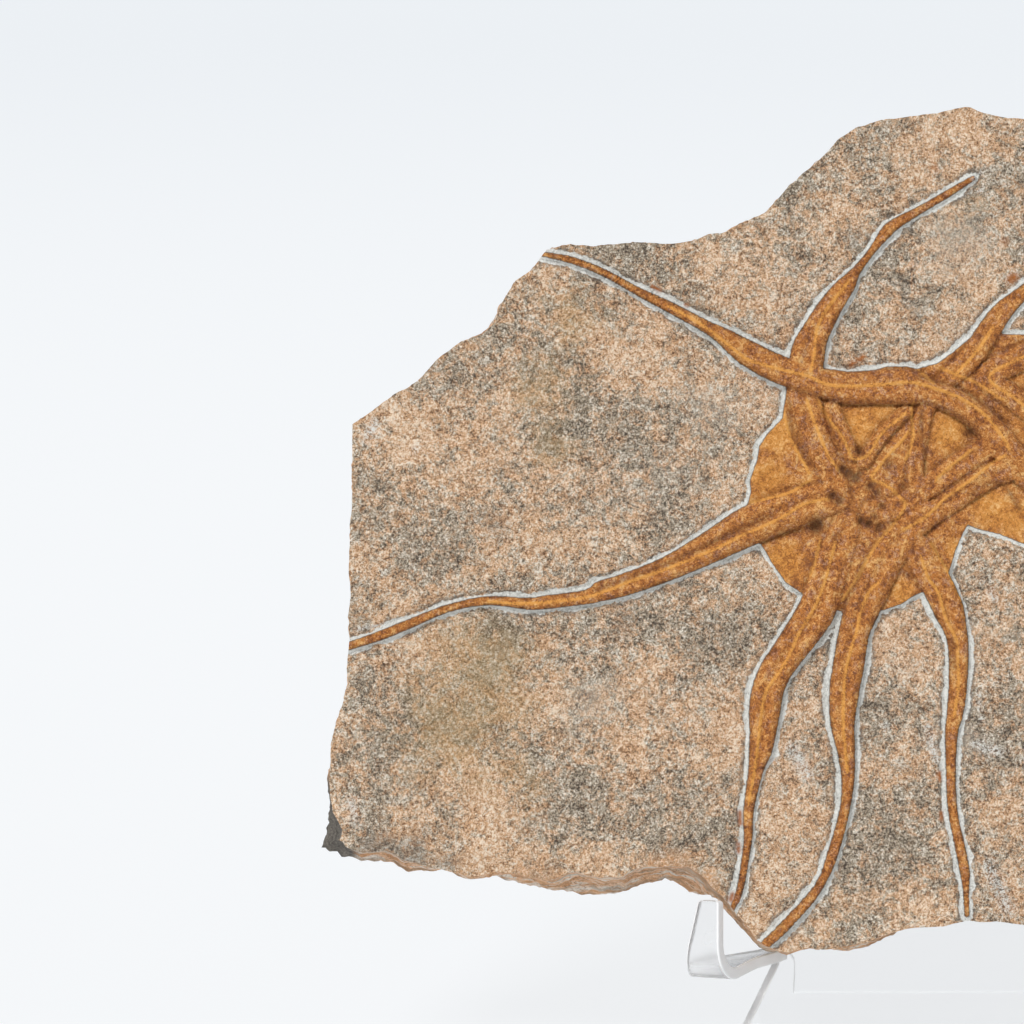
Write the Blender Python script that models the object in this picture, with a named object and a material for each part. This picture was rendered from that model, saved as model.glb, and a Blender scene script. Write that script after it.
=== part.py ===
"""Brittle star fossil: a split slab of sandstone with brittle stars in low relief, on a clear acrylic easel.

Metres, +Z up. The slab's face looks along -Y and leans back. The origin is on the surface that
the easel stands on, midway along the object. The slab is drawn in face millimetres: a runs
right and b runs up the face from its middle, and n stands out of the face.
"""

import math

import bmesh
import bpy
import numpy as np
from mathutils import Vector, noise
from mathutils.geometry import delaunay_2d_cdt

# ---------------------------------------------------------------- driving dimensions, in mm
MM = 0.001
LEAN = math.radians(12)
FACE_HEIGHT = 141.0
FACE_SETBACK = -17.5
SLAB_THICKNESS = 22.0
SHEET = 3.0
CLEARANCE = 0.3

GROOVE_WIDTH = 1.6
GROOVE_DEPTH = 0.9
DISC_RISE = 0.5
ARM_RISE = 0.48     # height of an arm's ridges, as a share of its half width
RIDGE_PLACE = 0.52  # where the two ridges run, as a share of the half width
RIDGE_WIDTH = 0.3

# How far apart points of the face mesh lie: along an arm, across bare stone, and on the body skins.
STATION_STEP = 4.6
STONE_STEP = 7.5
SKIN_STEP = 3.1

# Outline of the slab, clockwise from the upper left corner: a, b, and how far the face's own edge
# lies inside it, where the split side shows.
OUTLINE = [
    (-139.4, 27.2, 0.5), (-134.0, 31.2, 0.5), (-129.0, 34.8, 0.5), (-123.0, 38.0, 0.5),
    (-118.5, 43.2, 0.5), (-112.0, 48.2, 0.6), (-107.0, 50.2, 1.0), (-104.4, 53.0, 1.2),
    (-103.0, 56.2, 0.8), (-100.4, 60.0, 0.5), (-98.5, 63.3, 0.5), (-94.5, 66.6, 0.5),
    (-90.5, 71.1, 0.5), (-84.5, 72.7, 0.5), (-79.0, 72.1, 0.5), (-72.0, 72.7, 0.5),
    (-68.0, 73.3, 0.5), (-60.5, 72.9, 0.5), (-54.0, 73.2, 0.5), (-50.0, 75.0, 0.5),
    (-47.0, 75.4, 0.5), (-42.0, 77.9, 0.5), (-36.0, 80.3, 0.5), (-32.5, 84.0, 0.5),
    (-30.0, 87.2, 0.5), (-24.0, 92.5, 0.5), (-18.0, 98.4, 0.5), (-13.0, 101.7, 0.5),
    (-7.0, 103.8, 0.5), (0.0, 104.6, 0.5), (7.0, 105.2, 0.5), (11.5, 106.2, 0.5),
    (15.0, 106.8, 0.5), (19.0, 105.4, 0.5), (25.0, 104.3, 0.5), (35.0, 103.2, 0.5),
    (45.0, 102.4, 0.6), (52.5, 98.8, 0.8), (60.0, 98.2, 0.8), (68.0, 93.6, 0.6),
    (79.0, 92.0, 0.6), (87.5, 88.0, 0.8), (91.0, 83.2, 0.8), (102.0, 79.8, 0.6),
    (108.5, 73.4, 0.6), (112.0, 66.0, 0.8), (121.5, 59.6, 0.6), (126.0, 51.0, 0.6),
    (127.5, 42.0, 0.8), (134.5, 35.4, 0.6), (138.0, 26.0, 0.6), (138.4, 13.0, 0.8),
    (143.8, 5.0, 0.6), (147.5, -5.0, 0.6), (146.8, -18.5, 0.8), (143.4, -29.0, 0.8),
    (144.6, -40.0, 0.6), (139.0, -51.5, 1.0), (133.4, -57.5, 0.8), (131.0, -68.0, 1.4),
    (123.5, -76.0, 2.0), (112.0, -79.4, 2.4), (102.0, -86.2, 2.0), (90.0, -88.0, 2.6),
    (83.0, -88.9, 3.6), (77.0, -89.4, 4.4), (72.0, -92.0, 4.6), (68.0, -93.6, 3.6), (65.4, -97.4, 2.0),
    (61.0, -101.6, 1.2), (57.8, -104.8, 0.9), (54.0, -106.4, 0.8), (50.0, -105.6, 1.0),
    (45.0, -106.0, 1.4), (40.0, -103.2, 1.0), (35.0, -100.4, 0.8),
    (29.0, -98.7, 0.6), (22.0, -98.1, 0.5), (15.0, -98.0, 0.6), (9.0, -99.3, 0.7),
    (0.0, -100.0, 0.8), (-4.0, -101.9, 1.7), (-9.0, -104.8, 2.2), (-15.0, -106.0, 2.0),
    (-19.5, -105.3, 0.8), (-25.0, -105.4, 1.0), (-30.0, -106.4, 1.0), (-33.5, -105.2, 0.6),
    (-38.3, -103.0, 0.9), (-41.0, -100.0, 1.6), (-45.5, -96.0, 2.4), (-48.5, -93.4, 3.6),
    (-53.0, -92.2, 6.4), (-57.0, -89.8, 6.2), (-60.5, -88.1, 4.6), (-65.0, -89.3, 5.0),
    (-70.0, -91.4, 5.4), (-77.0, -92.2, 6.3), (-83.0, -91.9, 6.0), (-89.0, -91.4, 5.0),
    (-93.0, -89.8, 3.7), (-99.0, -88.6, 2.8), (-104.0, -87.4, 1.9), (-109.5, -87.8, 1.6),
    (-116.0, -85.9, 1.5), (-120.5, -86.0, 2.6), (-125.0, -86.1, 3.8), (-130.0, -84.5, 3.4),
    (-137.0, -83.0, 2.8), (-142.0, -82.1, 4.0), (-147.5, -80.0, 6.4), (-146.2, -74.0, 4.6),
    (-145.3, -70.0, 1.4), (-145.9, -62.0, 0.9), (-145.0, -55.0, 0.5), (-144.0, -49.0, 0.5),
    (-142.2, -43.0, 0.6), (-140.8, -38.0, 0.8), (-140.9, -34.0, 0.6), (-140.2, -27.0, 0.5),
    (-140.5, -19.0, 0.5), (-140.3, -8.0, 0.5), (-140.0, 5.0, 0.5), (-139.6, 16.0, 0.5),
]

# Outline of the stars' body skins, which lie under and between the arms.
DISC_SKIN = [
    (-40.0, 6.7), (-39.2, 10.0), (-39.4, 13.0), (-37.6, 18.0), (-37.0, 21.5), (-35.0, 24.5),
    (-31.4, 28.3), (-30.6, 33.0), (-30.0, 38.0), (-24.0, 42.0), (-20.8, 40.8), (-15.0, 40.0),
    (-9.0, 40.2), (-5.0, 41.3), (0.0, 41.2), (2.0, 40.6), (7.5, 42.1), (11.5, 45.0),
    (16.2, 49.0), (22.5, 49.4), (29.0, 49.2), (40.0, 49.6), (50.0, 47.4), (58.0, 42.0),
    (64.0, 33.0), (66.0, 22.0), (64.0, 11.0), (58.0, 2.0), (50.0, -4.5), (42.0, -7.6),
    (35.0, -5.4), (29.0, -2.9), (23.0, -0.5), (17.0, 1.0), (14.8, 2.0), (13.5, -0.5),
    (11.8, -4.5), (10.2, -9.6), (8.0, -13.5), (4.0, -14.8), (1.5, -15.8), (-1.5, -17.8),
    (-6.0, -19.5), (-11.0, -19.8), (-17.0, -19.7), (-22.0, -18.0), (-26.0, -15.6),
    (-30.5, -12.5), (-33.5, -8.3), (-36.5, -3.2),
]

# Arms, from tip to body: a, b and half the width.
ARM_LEFT = [
    (-142.0, -29.2, 0.8), (-133.0, -26.3, 1.05), (-125.0, -23.1, 1.05), (-115.0, -19.1, 0.85),
    (-105.0, -17.2, 1.0), (-95.0, -17.9, 1.35), (-90.0, -17.5, 1.6), (-80.0, -16.2, 1.7),
    (-77.0, -14.9, 2.4), (-70.0, -12.9, 2.7), (-60.0, -9.1, 2.95), (-50.0, -4.1, 3.8),
    (-40.0, 1.4, 4.8), (-33.0, 4.3, 4.9), (-26.0, 6.8, 4.6), (-18.0, 8.8, 3.8),
]
ARM_BAND = [
    (-91.5, 69.5, 0.5), (-84.0, 67.9, 0.75), (-76.0, 64.8, 0.8), (-68.0, 60.4, 0.9),
    (-60.0, 56.4, 1.25), (-50.0, 51.1, 1.45), (-46.0, 48.8, 2.1), (-40.0, 44.7, 3.1),
    (-32.0, 40.6, 3.4), (-22.0, 37.4, 3.6), (-15.0, 36.0, 4.0), (-8.0, 36.2, 4.2),
    (0.0, 36.3, 4.3), (6.0, 34.8, 3.2), (12.0, 32.2, 3.3), (18.0, 28.4, 3.5),
    (23.0, 22.8, 3.5), (28.0, 16.0, 3.5), (34.0, 11.0, 3.2),
]
ARM_UP = [
    (16.2, 88.4, 0.5), (9.5, 84.3, 0.8), (3.5, 80.8, 0.85), (-3.0, 77.1, 1.25),
    (-5.6, 74.8, 1.35), (-9.2, 70.0, 0.75), (-13.1, 65.0, 1.1), (-14.8, 62.5, 2.0),
    (-18.6, 57.5, 2.75), (-23.0, 50.0, 3.4), (-25.0, 44.5, 4.2), (-25.8, 35.0, 4.0),
    (-24.0, 27.0, 3.4), (-21.5, 20.0, 3.2), (-17.5, 12.0, 3.0),
]
ARM_UPPER_RIGHT = [
    (61.0, 88.0, 0.5), (57.0, 82.0, 0.8), (50.0, 75.0, 1.1), (42.0, 69.0, 1.3),
    (34.0, 64.0, 1.45), (29.0, 60.0, 1.6), (25.5, 57.0, 2.1), (23.0, 54.4, 2.5),
    (20.0, 50.0, 2.8), (16.0, 44.0, 2.8), (9.5, 37.5, 2.4), (4.5, 31.0, 2.2), (2.6, 22.0, 2.1),
    (1.6, 13.0, 2.1),
]
ARM_DOWN_LEFT = [
    (-44.2, -94.6, 0.5), (-42.2, -90.0, 0.75), (-40.4, -80.0, 0.85), (-39.9, -75.0, 1.05),
    (-39.9, -70.0, 1.2), (-38.1, -60.0, 1.75), (-36.9, -55.0, 2.75), (-36.2, -50.0, 3.2),
    (-35.8, -45.0, 3.8), (-35.1, -40.0, 3.9), (-33.2, -35.0, 3.9), (-29.8, -30.0, 4.0),
    (-23.0, -20.0, 4.6), (-20.4, -12.0, 4.4), (-17.6, -4.0, 4.0), (-15.5, 2.0, 3.4),
]
ARM_DOWN = [
    (-35.6, -103.0, 1.1), (-32.0, -99.8, 1.2), (-25.0, -92.2, 1.15), (-21.4, -87.0, 1.0),
    (-18.7, -80.0, 1.25), (-15.9, -70.0, 1.15), (-15.0, -62.0, 1.5), (-15.4, -55.0, 2.1),
    (-16.3, -48.0, 2.9), (-15.9, -40.0, 3.6), (-14.8, -33.0, 3.8), (-13.4, -25.0, 3.75),
    (-11.2, -18.5, 4.4), (-8.2, -12.0, 4.4), (-4.4, -5.0, 4.2), (0.5, 1.0, 3.6), (6.0, 5.0, 3.0),
]
ARM_DOWN_RIGHT = [
    (14.6, -95.6, 0.5), (14.4, -90.0, 0.6), (14.1, -85.0, 1.1), (13.2, -80.0, 1.15),
    (11.2, -70.0, 1.05), (10.7, -60.0, 1.1), (10.9, -50.0, 1.5), (11.8, -45.0, 1.95),
    (12.5, -38.0, 2.2), (12.7, -30.0, 2.4), (12.0, -25.0, 2.7), (10.4, -20.0, 3.6),
    (8.2, -15.0, 3.8), (5.4, -10.0, 3.8), (2.0, -4.0, 3.6),
]
BAND_OVER_CENTRE = [
    (22.0, 22.0, 2.6), (15.0, 18.4, 2.8), (9.0, 14.2, 2.8), (3.0, 9.8, 2.7), (-3.0, 6.0, 2.8),
    (-9.0, 5.0, 3.0),
]
BAND_UNDER_CENTRE = [
    (31.0, 16.6, 2.8), (22.0, 14.6, 2.8), (16.0, 11.2, 2.8), (10.0, 7.2, 2.8), (4.0, 3.2, 2.6),
]
FOLD_LEFT = [(-19.0, 31.0, 2.0), (-16.6, 25.0, 2.0), (-14.2, 19.5, 1.9)]
FOLD_RIGHT = [(-0.6, 30.2, 1.7), (-4.6, 26.4, 1.7), (-8.2, 22.0, 1.7), (-11.0, 17.6, 1.8)]
ARM_B_UP = [
    (114.5, 61.5, 0.5), (107.0, 58.5, 1.3), (96.0, 54.0, 2.0), (84.0, 50.0, 2.8),
    (72.0, 45.0, 3.6), (62.0, 38.0, 4.2), (52.0, 29.0, 4.2), (45.0, 23.0, 3.6),
]
ARM_B_RIGHT = [
    (142.0, -8.0, 0.5), (131.0, -6.5, 1.1), (118.0, -6.0, 1.7), (106.0, -3.0, 2.4),
    (94.0, 3.0, 3.0), (82.0, 9.0, 3.6), (70.0, 14.0, 4.2), (58.0, 17.0, 4.4), (47.0, 20.0, 3.6),
]
ARM_B_DOWN = [
    (62.0, -87.0, 0.5), (59.0, -78.0, 1.1), (55.0, -67.0, 1.6), (55.0, -54.0, 2.2),
    (58.0, -40.0, 2.8), (58.0, -26.0, 3.4), (54.0, -13.0, 4.0), (48.0, -1.0, 4.2), (44.0, 13.0, 3.6),
]
ARM_B_UNDER = [
    (34.0, 46.0, 3.0), (27.0, 43.0, 3.2), (20.0, 38.5, 3.0), (27.0, 33.0, 2.8), (36.0, 26.0, 3.0),
]

# Each arm, and how far its underside lies above the skin where it crosses other arms, in mm.
ARMS = [
    (ARM_UP, 0.0), (ARM_DOWN_RIGHT, 0.0), (ARM_DOWN_LEFT, 0.1), (ARM_LEFT, 0.2),
    (ARM_UPPER_RIGHT, 0.0), (ARM_DOWN, 0.4), (BAND_UNDER_CENTRE, 0.2), (BAND_OVER_CENTRE, 0.3),
    (FOLD_LEFT, 0.1), (FOLD_RIGHT, 0.2), (ARM_BAND, 0.6), (ARM_B_UNDER, 0.0),
    (ARM_B_UP, 0.2), (ARM_B_RIGHT, 0.1), (ARM_B_DOWN, 0.0),
]

# Pits round the mouth and where bands cross: a, b, radius, depth.
PITS = [
    (-23.4, 1.4, 2.2, 0.9), (-17.4, 9.2, 1.5, 0.7), (-14.4, 14.8, 1.6, 0.7), (-7.4, 7.4, 1.5, 0.7),
    (-9.0, 2.2, 1.6, 0.8), (-18.4, -1.4, 1.3, 0.5), (15.5, 25.0, 1.8, 0.7), (44.0, 20.0, 2.4, 0.9),
]

# Easel: one bent sheet, with two hooks that carry the slab. Its middle stands to the right of the slab's.
EASEL_MIDDLE = 10.0
PANEL_TOP = 34.0
BEND_RADIUS = 7.0
REAR_FOOT_SETBACK = 62.0
REAR_HALF_WIDTH = 34.0
FLAP_TURN = math.radians(28)
# Front panel, from its foot up: b, half width up to the folds, half width over the flaps, flap angle.
PANEL = [
    (None, 41.4, 56.5, FLAP_TURN), (-110.5, 37.7, 41.2, FLAP_TURN), (-107.5, 37.5, 40.8, 0.0),
    (PANEL_TOP, 31.0, REAR_HALF_WIDTH, 0.0),
]
HOOK_EDGE_A = 41.8
HOOK_SPLAY = math.radians(30)
HOOK_DIP = math.radians(7.5)
HOOK_ROOT_RUN = -1.0
HOOK_NECK_RUN = 8.0
HOOK_BEND_RUN = 21.8
HOOK_BEND_B = -102.2
HOOK_BEND_RADIUS = 10.0
LIP_TOP_B = -91.8
# Width of a hook and how far its inner edge is set in, against the distance from its tip.
HOOK_WIDTHS = [(0.0, 5.8, 0.0), (10.0, 8.3, 0.0), (26.0, 12.5, 0.0), (38.0, 9.5, 0.0), (47.0, 6.0, 3.0)]
# Where the slab's underside runs straight back to rest on the hooks.
SEAT_A = 44.0
SEAT_B = -106.2
SEAT_WIDTH = 7.0


def face_to_world(a, b, n):
    """A point given in face millimetres, in metres in the world."""
    y = FACE_SETBACK + b * math.sin(LEAN) - n * math.cos(LEAN)
    z = FACE_HEIGHT + b * math.cos(LEAN) + n * math.sin(LEAN)
    return Vector((a * MM, y * MM, z * MM))


def clear_scene():
    for obj in list(bpy.data.objects):
        bpy.data.objects.remove(obj, do_unlink=True)


def make_material(name, colour, roughness, transmission=0.0):
    material = bpy.data.materials.new(name)
    material.use_nodes = True
    shader = material.node_tree.nodes["Principled BSDF"]
    shader.inputs["Base Color"].default_value = (*colour, 1.0)
    shader.inputs["Roughness"].default_value = roughness
    shader.inputs["Transmission Weight"].default_value = transmission
    shader.inputs["IOR"].default_value = 1.49
    return material


def finished_object(name, mesh):
    """An object made of a bmesh, with its faces pointing out."""
    bmesh.ops.recalc_face_normals(mesh, faces=mesh.faces)
    data = bpy.data.meshes.new(name)
    mesh.to_mesh(data)
    mesh.free()
    obj = bpy.data.objects.new(name, data)
    bpy.context.scene.collection.objects.link(obj)
    return obj


# ---------------------------------------------------------------- the relief of the face
def smooth_line(rows, step):
    """Rows of numbers as a smooth curve through them, with a point about every step mm."""
    rows = np.array(rows)
    ends = np.vstack([2 * rows[0] - rows[1], rows, 2 * rows[-1] - rows[-2]])
    line = []
    for i in range(1, len(ends) - 2):
        before, start, end, after = ends[i - 1 : i + 3]
        count = max(1, round(float(np.hypot(*(end - start)[:2])) / step))
        for t in np.arange(count) / count:
            bend = 2 * before - 5 * start + 4 * end - after
            twist = -before + 3 * start - 3 * end + after
            line.append(start + 0.5 * t * (end - before) + 0.5 * t * t * bend + 0.5 * t**3 * twist)
    line.append(rows[-1])
    return np.array(line)


def across(points, line):
    """For each point, its distance across a line and the line's half width there."""
    start, end = line[:-1, :2], line[1:, :2]
    run = end - start
    offset = points[:, None, :] - start[None, :, :]
    t = np.clip((offset * run).sum(axis=2) / (run**2).sum(axis=1), 0.0, 1.0)
    distance = np.linalg.norm(offset - t[..., None] * run, axis=2)
    nearest = distance.argmin(axis=1)
    index = np.arange(len(points))
    t = t[index, nearest]
    width = line[nearest, 2] * (1 - t) + line[nearest + 1, 2] * t
    return distance[index, nearest], width


def outside_polygon(points, polygon):
    """Signed distance to a closed polygon, negative inside it."""
    start = np.array(polygon)
    end = np.roll(start, -1, axis=0)
    run = end - start
    offset = points[:, None, :] - start[None, :, :]
    t = np.clip((offset * run).sum(axis=2) / (run**2).sum(axis=1), 0.0, 1.0)
    distance = np.linalg.norm(offset - t[..., None] * run, axis=2).min(axis=1)
    above = (start[None, :, 1] > points[:, 1:]) != (end[None, :, 1] > points[:, 1:])
    rise = np.where(run[:, 1] == 0, 1e-9, run[:, 1])
    crossing = start[None, :, 0] + (points[:, 1:] - start[None, :, 1]) / rise * run[:, 0]
    inside = (above & (points[:, :1] < crossing)).sum(axis=1) % 2 == 1
    return np.where(inside, -distance, distance)


def waves(points, size, height, seed):
    """Smooth uneven ground of a given wavelength and height, in mm."""
    return np.array([
        height * noise.noise(Vector((a / size, b / size, seed))) for a, b in points
    ])


ARM_LINES = [(smooth_line(rows, 2.0), lift) for rows, lift in ARMS]


def relief(points):
    """Height of the face over its mean plane, in mm, at points (a, b)."""
    points = np.asarray(points, float)
    stone = waves(points, 60.0, 2.2, 3.1) + waves(points, 17.0, 0.9, 8.4)
    skin_edge = outside_polygon(points, DISC_SKIN)
    nearest_edge = skin_edge.copy()
    skin = DISC_RISE + waves(points, 9.0, 0.5, 1.7)
    fossil = np.full(len(points), -9.0)
    for line, lift in ARM_LINES:
        distance, half = across(points, line)
        share = distance / half
        nearest_edge = np.minimum(nearest_edge, distance - half)
        dome = np.sqrt(np.clip(1 - share**2, 0, 1))
        lobes = np.exp(-(((share - RIDGE_PLACE) / RIDGE_WIDTH) ** 2))
        rise = ARM_RISE * half * (0.55 * dome + 0.6 * lobes * (share < 1)) + lift + DISC_RISE
        fossil = np.where(share < 1, np.maximum(fossil, rise), fossil)
        skin -= 0.45 * np.exp(-(((distance - half) / 0.9) ** 2)) * (share >= 1)
    fossil = np.where(skin_edge < 0, np.maximum(fossil, skin), fossil)
    for a, b, radius, depth in PITS:
        away = np.hypot(points[:, 0] - a, points[:, 1] - b)
        fossil -= depth * np.exp(-((away / radius) ** 2))
    groove = -GROOVE_DEPTH * np.clip(1 - np.abs(nearest_edge / GROOVE_WIDTH - 0.5) * 2, 0, 1)
    return np.where(nearest_edge <= 0, fossil + 0.6 * stone, stone + groove)


# ---------------------------------------------------------------- the slab
def even_loop(rows, step):
    """A closed outline with a point at each row and between rows, about every step mm."""
    loop = []
    for row, following in zip(rows, rows[1:] + rows[:1]):
        row, following = np.array(row), np.array(following)
        count = max(1, round(float(np.hypot(*(following - row)[:2])) / step))
        loop += [row + (following - row) * i / count for i in range(count)]
    return np.array(loop)


def inward(loop, reach):
    """Unit vectors into a clockwise outline, square to the chord between neighbours on both sides."""
    chord = np.roll(loop[:, :2], -reach, axis=0) - np.roll(loop[:, :2], reach, axis=0)
    chord /= np.linalg.norm(chord, axis=1)[:, None]
    return np.column_stack([chord[:, 1], -chord[:, 0]])


def arm_stations():
    """Points along each arm: its middle, its two ridges, its edges, and the groove on both sides."""
    line_step = 2.0
    found = []
    for line, _ in ARM_LINES:
        for i in range(0, len(line) - 1, round(STATION_STEP / line_step)):
            run = line[i + 1, :2] - line[i, :2]
            side = np.array([-run[1], run[0]]) / np.hypot(*run)
            half = line[i, 2]
            steps = [0.97 * half, half + 0.5 * GROOVE_WIDTH, half + 1.2 * GROOVE_WIDTH]
            if half > GROOVE_WIDTH:
                steps.append(RIDGE_PLACE * half)
            found.append(line[i, :2])
            found += [line[i, :2] + sign * step * side for step in steps for sign in (-1, 1)]
    return np.array(found)


def skin_stations():
    """Points round the body skins: on the edge and in the groove outside it."""
    loop = even_loop(DISC_SKIN, STATION_STEP)
    turn = inward(loop, 1)
    gaps = (0.15, -0.5 * GROOVE_WIDTH, -1.2 * GROOVE_WIDTH)
    return np.vstack([loop + gap * turn for gap in gaps])


def uneven_net(step):
    """A net of points over the whole slab, shifted so that its triangles look broken and not ruled."""
    reach = 150.0
    count = int(reach / step)
    found = []
    for i in range(-count, count + 1):
        for j in range(-count, count + 1):
            shift = noise.noise_vector(Vector((i * 1.7, j * 1.3, 5.0))) * step * 0.45
            found.append(((i + 0.5 * (j % 2)) * step + shift.x, j * step * 0.9 + shift.y))
    return np.array(found)


def spread(kept, candidates, apart):
    """The kept points, and each candidate that is at least this far from all of them."""
    kept = list(kept)
    for point in candidates:
        if not kept or np.hypot(*(np.array(kept) - point).T).min() >= apart:
            kept.append(point)
    return kept


def face_points(rim):
    """Points inside the face's rim: close together on the fossil's edges, wide apart on bare stone."""
    fine = np.vstack([arm_stations(), skin_stations()])
    stone = uneven_net(STONE_STEP)
    skin = uneven_net(SKIN_STEP)
    kept = []
    for candidates, apart in (
        (fine, 0.55),
        (skin[outside_polygon(skin, DISC_SKIN) < -1.0], 0.65 * SKIN_STEP),
        (stone[outside_polygon(stone, DISC_SKIN) > 0], 0.48 * STONE_STEP),
    ):
        kept = spread(kept, candidates[outside_polygon(candidates, rim) < -1.2], apart)
    return np.array(kept)


def triangulate(loop, inner):
    """Triangles that fill a loop through the inner points, as rows of three point numbers."""
    points = [Vector(row) for row in np.vstack([loop, inner])]
    count = len(loop)
    rim = [(i, (i + 1) % count) for i in range(count)]
    _, _, faces, origin, _, _ = delaunay_2d_cdt(points, rim, [], 1, 1e-6)
    return [[origin[i][0] for i in face] for face in faces]


def back_height(points):
    """Height of the slab's uneven back: nowhere lower than the plane that leans on the easel."""
    return -SLAB_THICKNESS + np.abs(waves(points, 34.0, 3.0, 12.5)) + np.abs(waves(points, 11.0, 0.8, 4.4))


def ring_of(mesh, points, heights):
    return [mesh.verts.new(face_to_world(a, b, n)) for (a, b), n in zip(points, heights)]


def make_slab():
    """The slab from four rings: the face's rim, the split edge, the waist of the side, and the back's heel."""
    loop = even_loop(OUTLINE, 5.0)
    edge, bevel = loop[:, :2], loop[:, 2]
    turn = inward(loop, 2)
    rough = waves(edge, 7.0, 1.3, 6.0)
    rim = edge + turn * bevel[:, None]
    waist = edge + turn * (1.0 + 0.9 * rough)[:, None]
    heel = edge + turn * (4.0 + rough)[:, None]
    seat = np.exp(-(((np.abs(edge[:, 0] - EASEL_MIDDLE) - SEAT_A) / SEAT_WIDTH) ** 2)) * (edge[:, 1] < -90)
    for ring in (waist, heel):
        ring[:, 1] += seat * (SEAT_B - ring[:, 1])
    edge_depth = -3.0 - 1.3 * bevel + 0.8 * rough

    inner = face_points(rim)
    back_net = uneven_net(13.0)
    back_net = back_net[outside_polygon(back_net, heel) < -5.0]
    front_points = np.vstack([rim, inner])
    back_points = np.vstack([heel, back_net])

    mesh = bmesh.new()
    front = ring_of(mesh, front_points, relief(front_points))
    split = ring_of(mesh, edge, edge_depth)
    middle = ring_of(mesh, waist, 0.35 * edge_depth - 9.5)
    back = ring_of(mesh, back_points, back_height(back_points))
    for triangle in triangulate(rim, inner):
        mesh.faces.new([front[i] for i in triangle])
    for triangle in triangulate(heel, back_net):
        mesh.faces.new([back[i] for i in reversed(triangle)])
    for upper, lower in ((front, split), (split, middle), (middle, back)):
        for i in range(len(loop)):
            j = (i + 1) % len(loop)
            mesh.faces.new([upper[i], upper[j], lower[j], lower[i]])
    bmesh.ops.triangulate(mesh, faces=mesh.faces)
    slab = finished_object("fossil_slab", mesh)
    slab.data.materials.append(make_material("mottled sandstone", (0.42, 0.32, 0.22), 0.9))


# ---------------------------------------------------------------- the easel
def loft(name, sections):
    """A closed solid through sections that have the same number of corners, capped at both ends."""
    mesh = bmesh.new()
    rings = [[mesh.verts.new(corner) for corner in section] for section in sections]
    for ring, following in zip(rings, rings[1:]):
        for i in range(len(ring)):
            j = (i + 1) % len(ring)
            mesh.faces.new([ring[i], ring[j], following[j], following[i]])
    mesh.faces.new(rings[0])
    mesh.faces.new(rings[-1])
    return finished_object(name, mesh)


def sheet_section(y, z, turn, fold, outer, flap, on_floor):
    """Eight corners across the sheet: y, z on its front, and the flaps outside the folds turned forward."""
    flap_reach = (outer - fold) * math.tan(flap)
    front = [(outer, flap_reach), (fold, 0.0)]
    back = [
        (fold + SHEET * math.tan(flap / 2), -SHEET),
        (outer + SHEET * math.sin(flap), flap_reach - SHEET * math.cos(flap)),
    ]
    corners = [(-a, n) for a, n in front] + [(a, n) for a, n in reversed(front)]
    corners += [(a, n) for a, n in reversed(back)] + [(-a, n) for a, n in back]
    section = []
    for a, n in corners:
        corner = Vector((EASEL_MIDDLE + a, y - n * math.cos(turn), z + n * math.sin(turn)))
        if on_floor:
            corner.y -= corner.z * math.tan(turn)
            corner.z = 0.0
        section.append(corner * MM)
    return section


def easel_sheet():
    """The front panel, top bend and rear leg as one bent sheet that stands flat on its cut edges."""
    sections = []
    for b, fold, outer, flap in PANEL:
        place = face_to_world(0, b or -FACE_HEIGHT, -SLAB_THICKNESS - CLEARANCE) / MM
        sections.append(sheet_section(place.y, place.z, LEAN, fold, outer, flap, b is None))
    fold, outer = PANEL[-1][1:3]
    centre_y = place.y + BEND_RADIUS * math.cos(LEAN)
    centre_z = place.z - BEND_RADIUS * math.sin(LEAN)
    foot_y = REAR_FOOT_SETBACK + FACE_SETBACK
    rear_slope = math.atan2(foot_y - centre_y - BEND_RADIUS, centre_z)
    last_turn = math.pi - rear_slope
    for i in range(1, 9):
        turn = LEAN + (last_turn - LEAN) * i / 8
        y = centre_y - BEND_RADIUS * math.cos(turn)
        z = centre_z + BEND_RADIUS * math.sin(turn)
        sections.append(sheet_section(y, z, turn, fold, outer, 0.0, False))
    sections.append(sheet_section(y, z, last_turn, fold, outer, 0.0, True))
    return loft("display_stand", sections)


def hook_path():
    """A hook's outer face from its root to its tip: run forward, b, and the face's angle from level."""
    path = []
    for i in range(9):
        turn = -HOOK_DIP + (math.pi / 2 + HOOK_DIP) * i / 8
        run = HOOK_BEND_RUN + HOOK_BEND_RADIUS * math.sin(turn)
        path.append((run, HOOK_BEND_B - HOOK_BEND_RADIUS * math.cos(turn), turn))
    bend_run, bend_b, _ = path[0]
    for run in (HOOK_NECK_RUN, HOOK_ROOT_RUN):
        path.insert(0, (run, bend_b + (bend_run - run) * math.tan(HOOK_DIP), -HOOK_DIP))
    path.append((path[-1][0], LIP_TOP_B, math.pi / 2))
    return path


def hook(side):
    """One hook: a tapering strip that leaves the panel's corner, passes under the slab and turns up."""
    path = hook_path()
    from_tip, widths, insets = zip(*HOOK_WIDTHS)
    sections = []
    for number, (run, b, turn) in enumerate(path):
        distance = sum(math.dist(p[:2], q[:2]) for p, q in zip(path[number:], path[number + 1:]))
        width = float(np.interp(distance, from_tip, widths))
        inset = float(np.interp(distance, from_tip, insets))
        corners = []
        for depth, reach in ((0, inset), (0, inset - width), (SHEET, inset - width), (SHEET, inset)):
            along = run - depth * math.sin(turn)
            a = HOOK_EDGE_A + along * math.sin(HOOK_SPLAY) - reach * math.cos(HOOK_SPLAY)
            n = -SLAB_THICKNESS + along * math.cos(HOOK_SPLAY) + reach * math.sin(HOOK_SPLAY)
            corners.append(face_to_world(EASEL_MIDDLE + side * a, b + depth * math.cos(turn), n))
        sections.append(corners)
    return loft("hook", sections)


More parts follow.
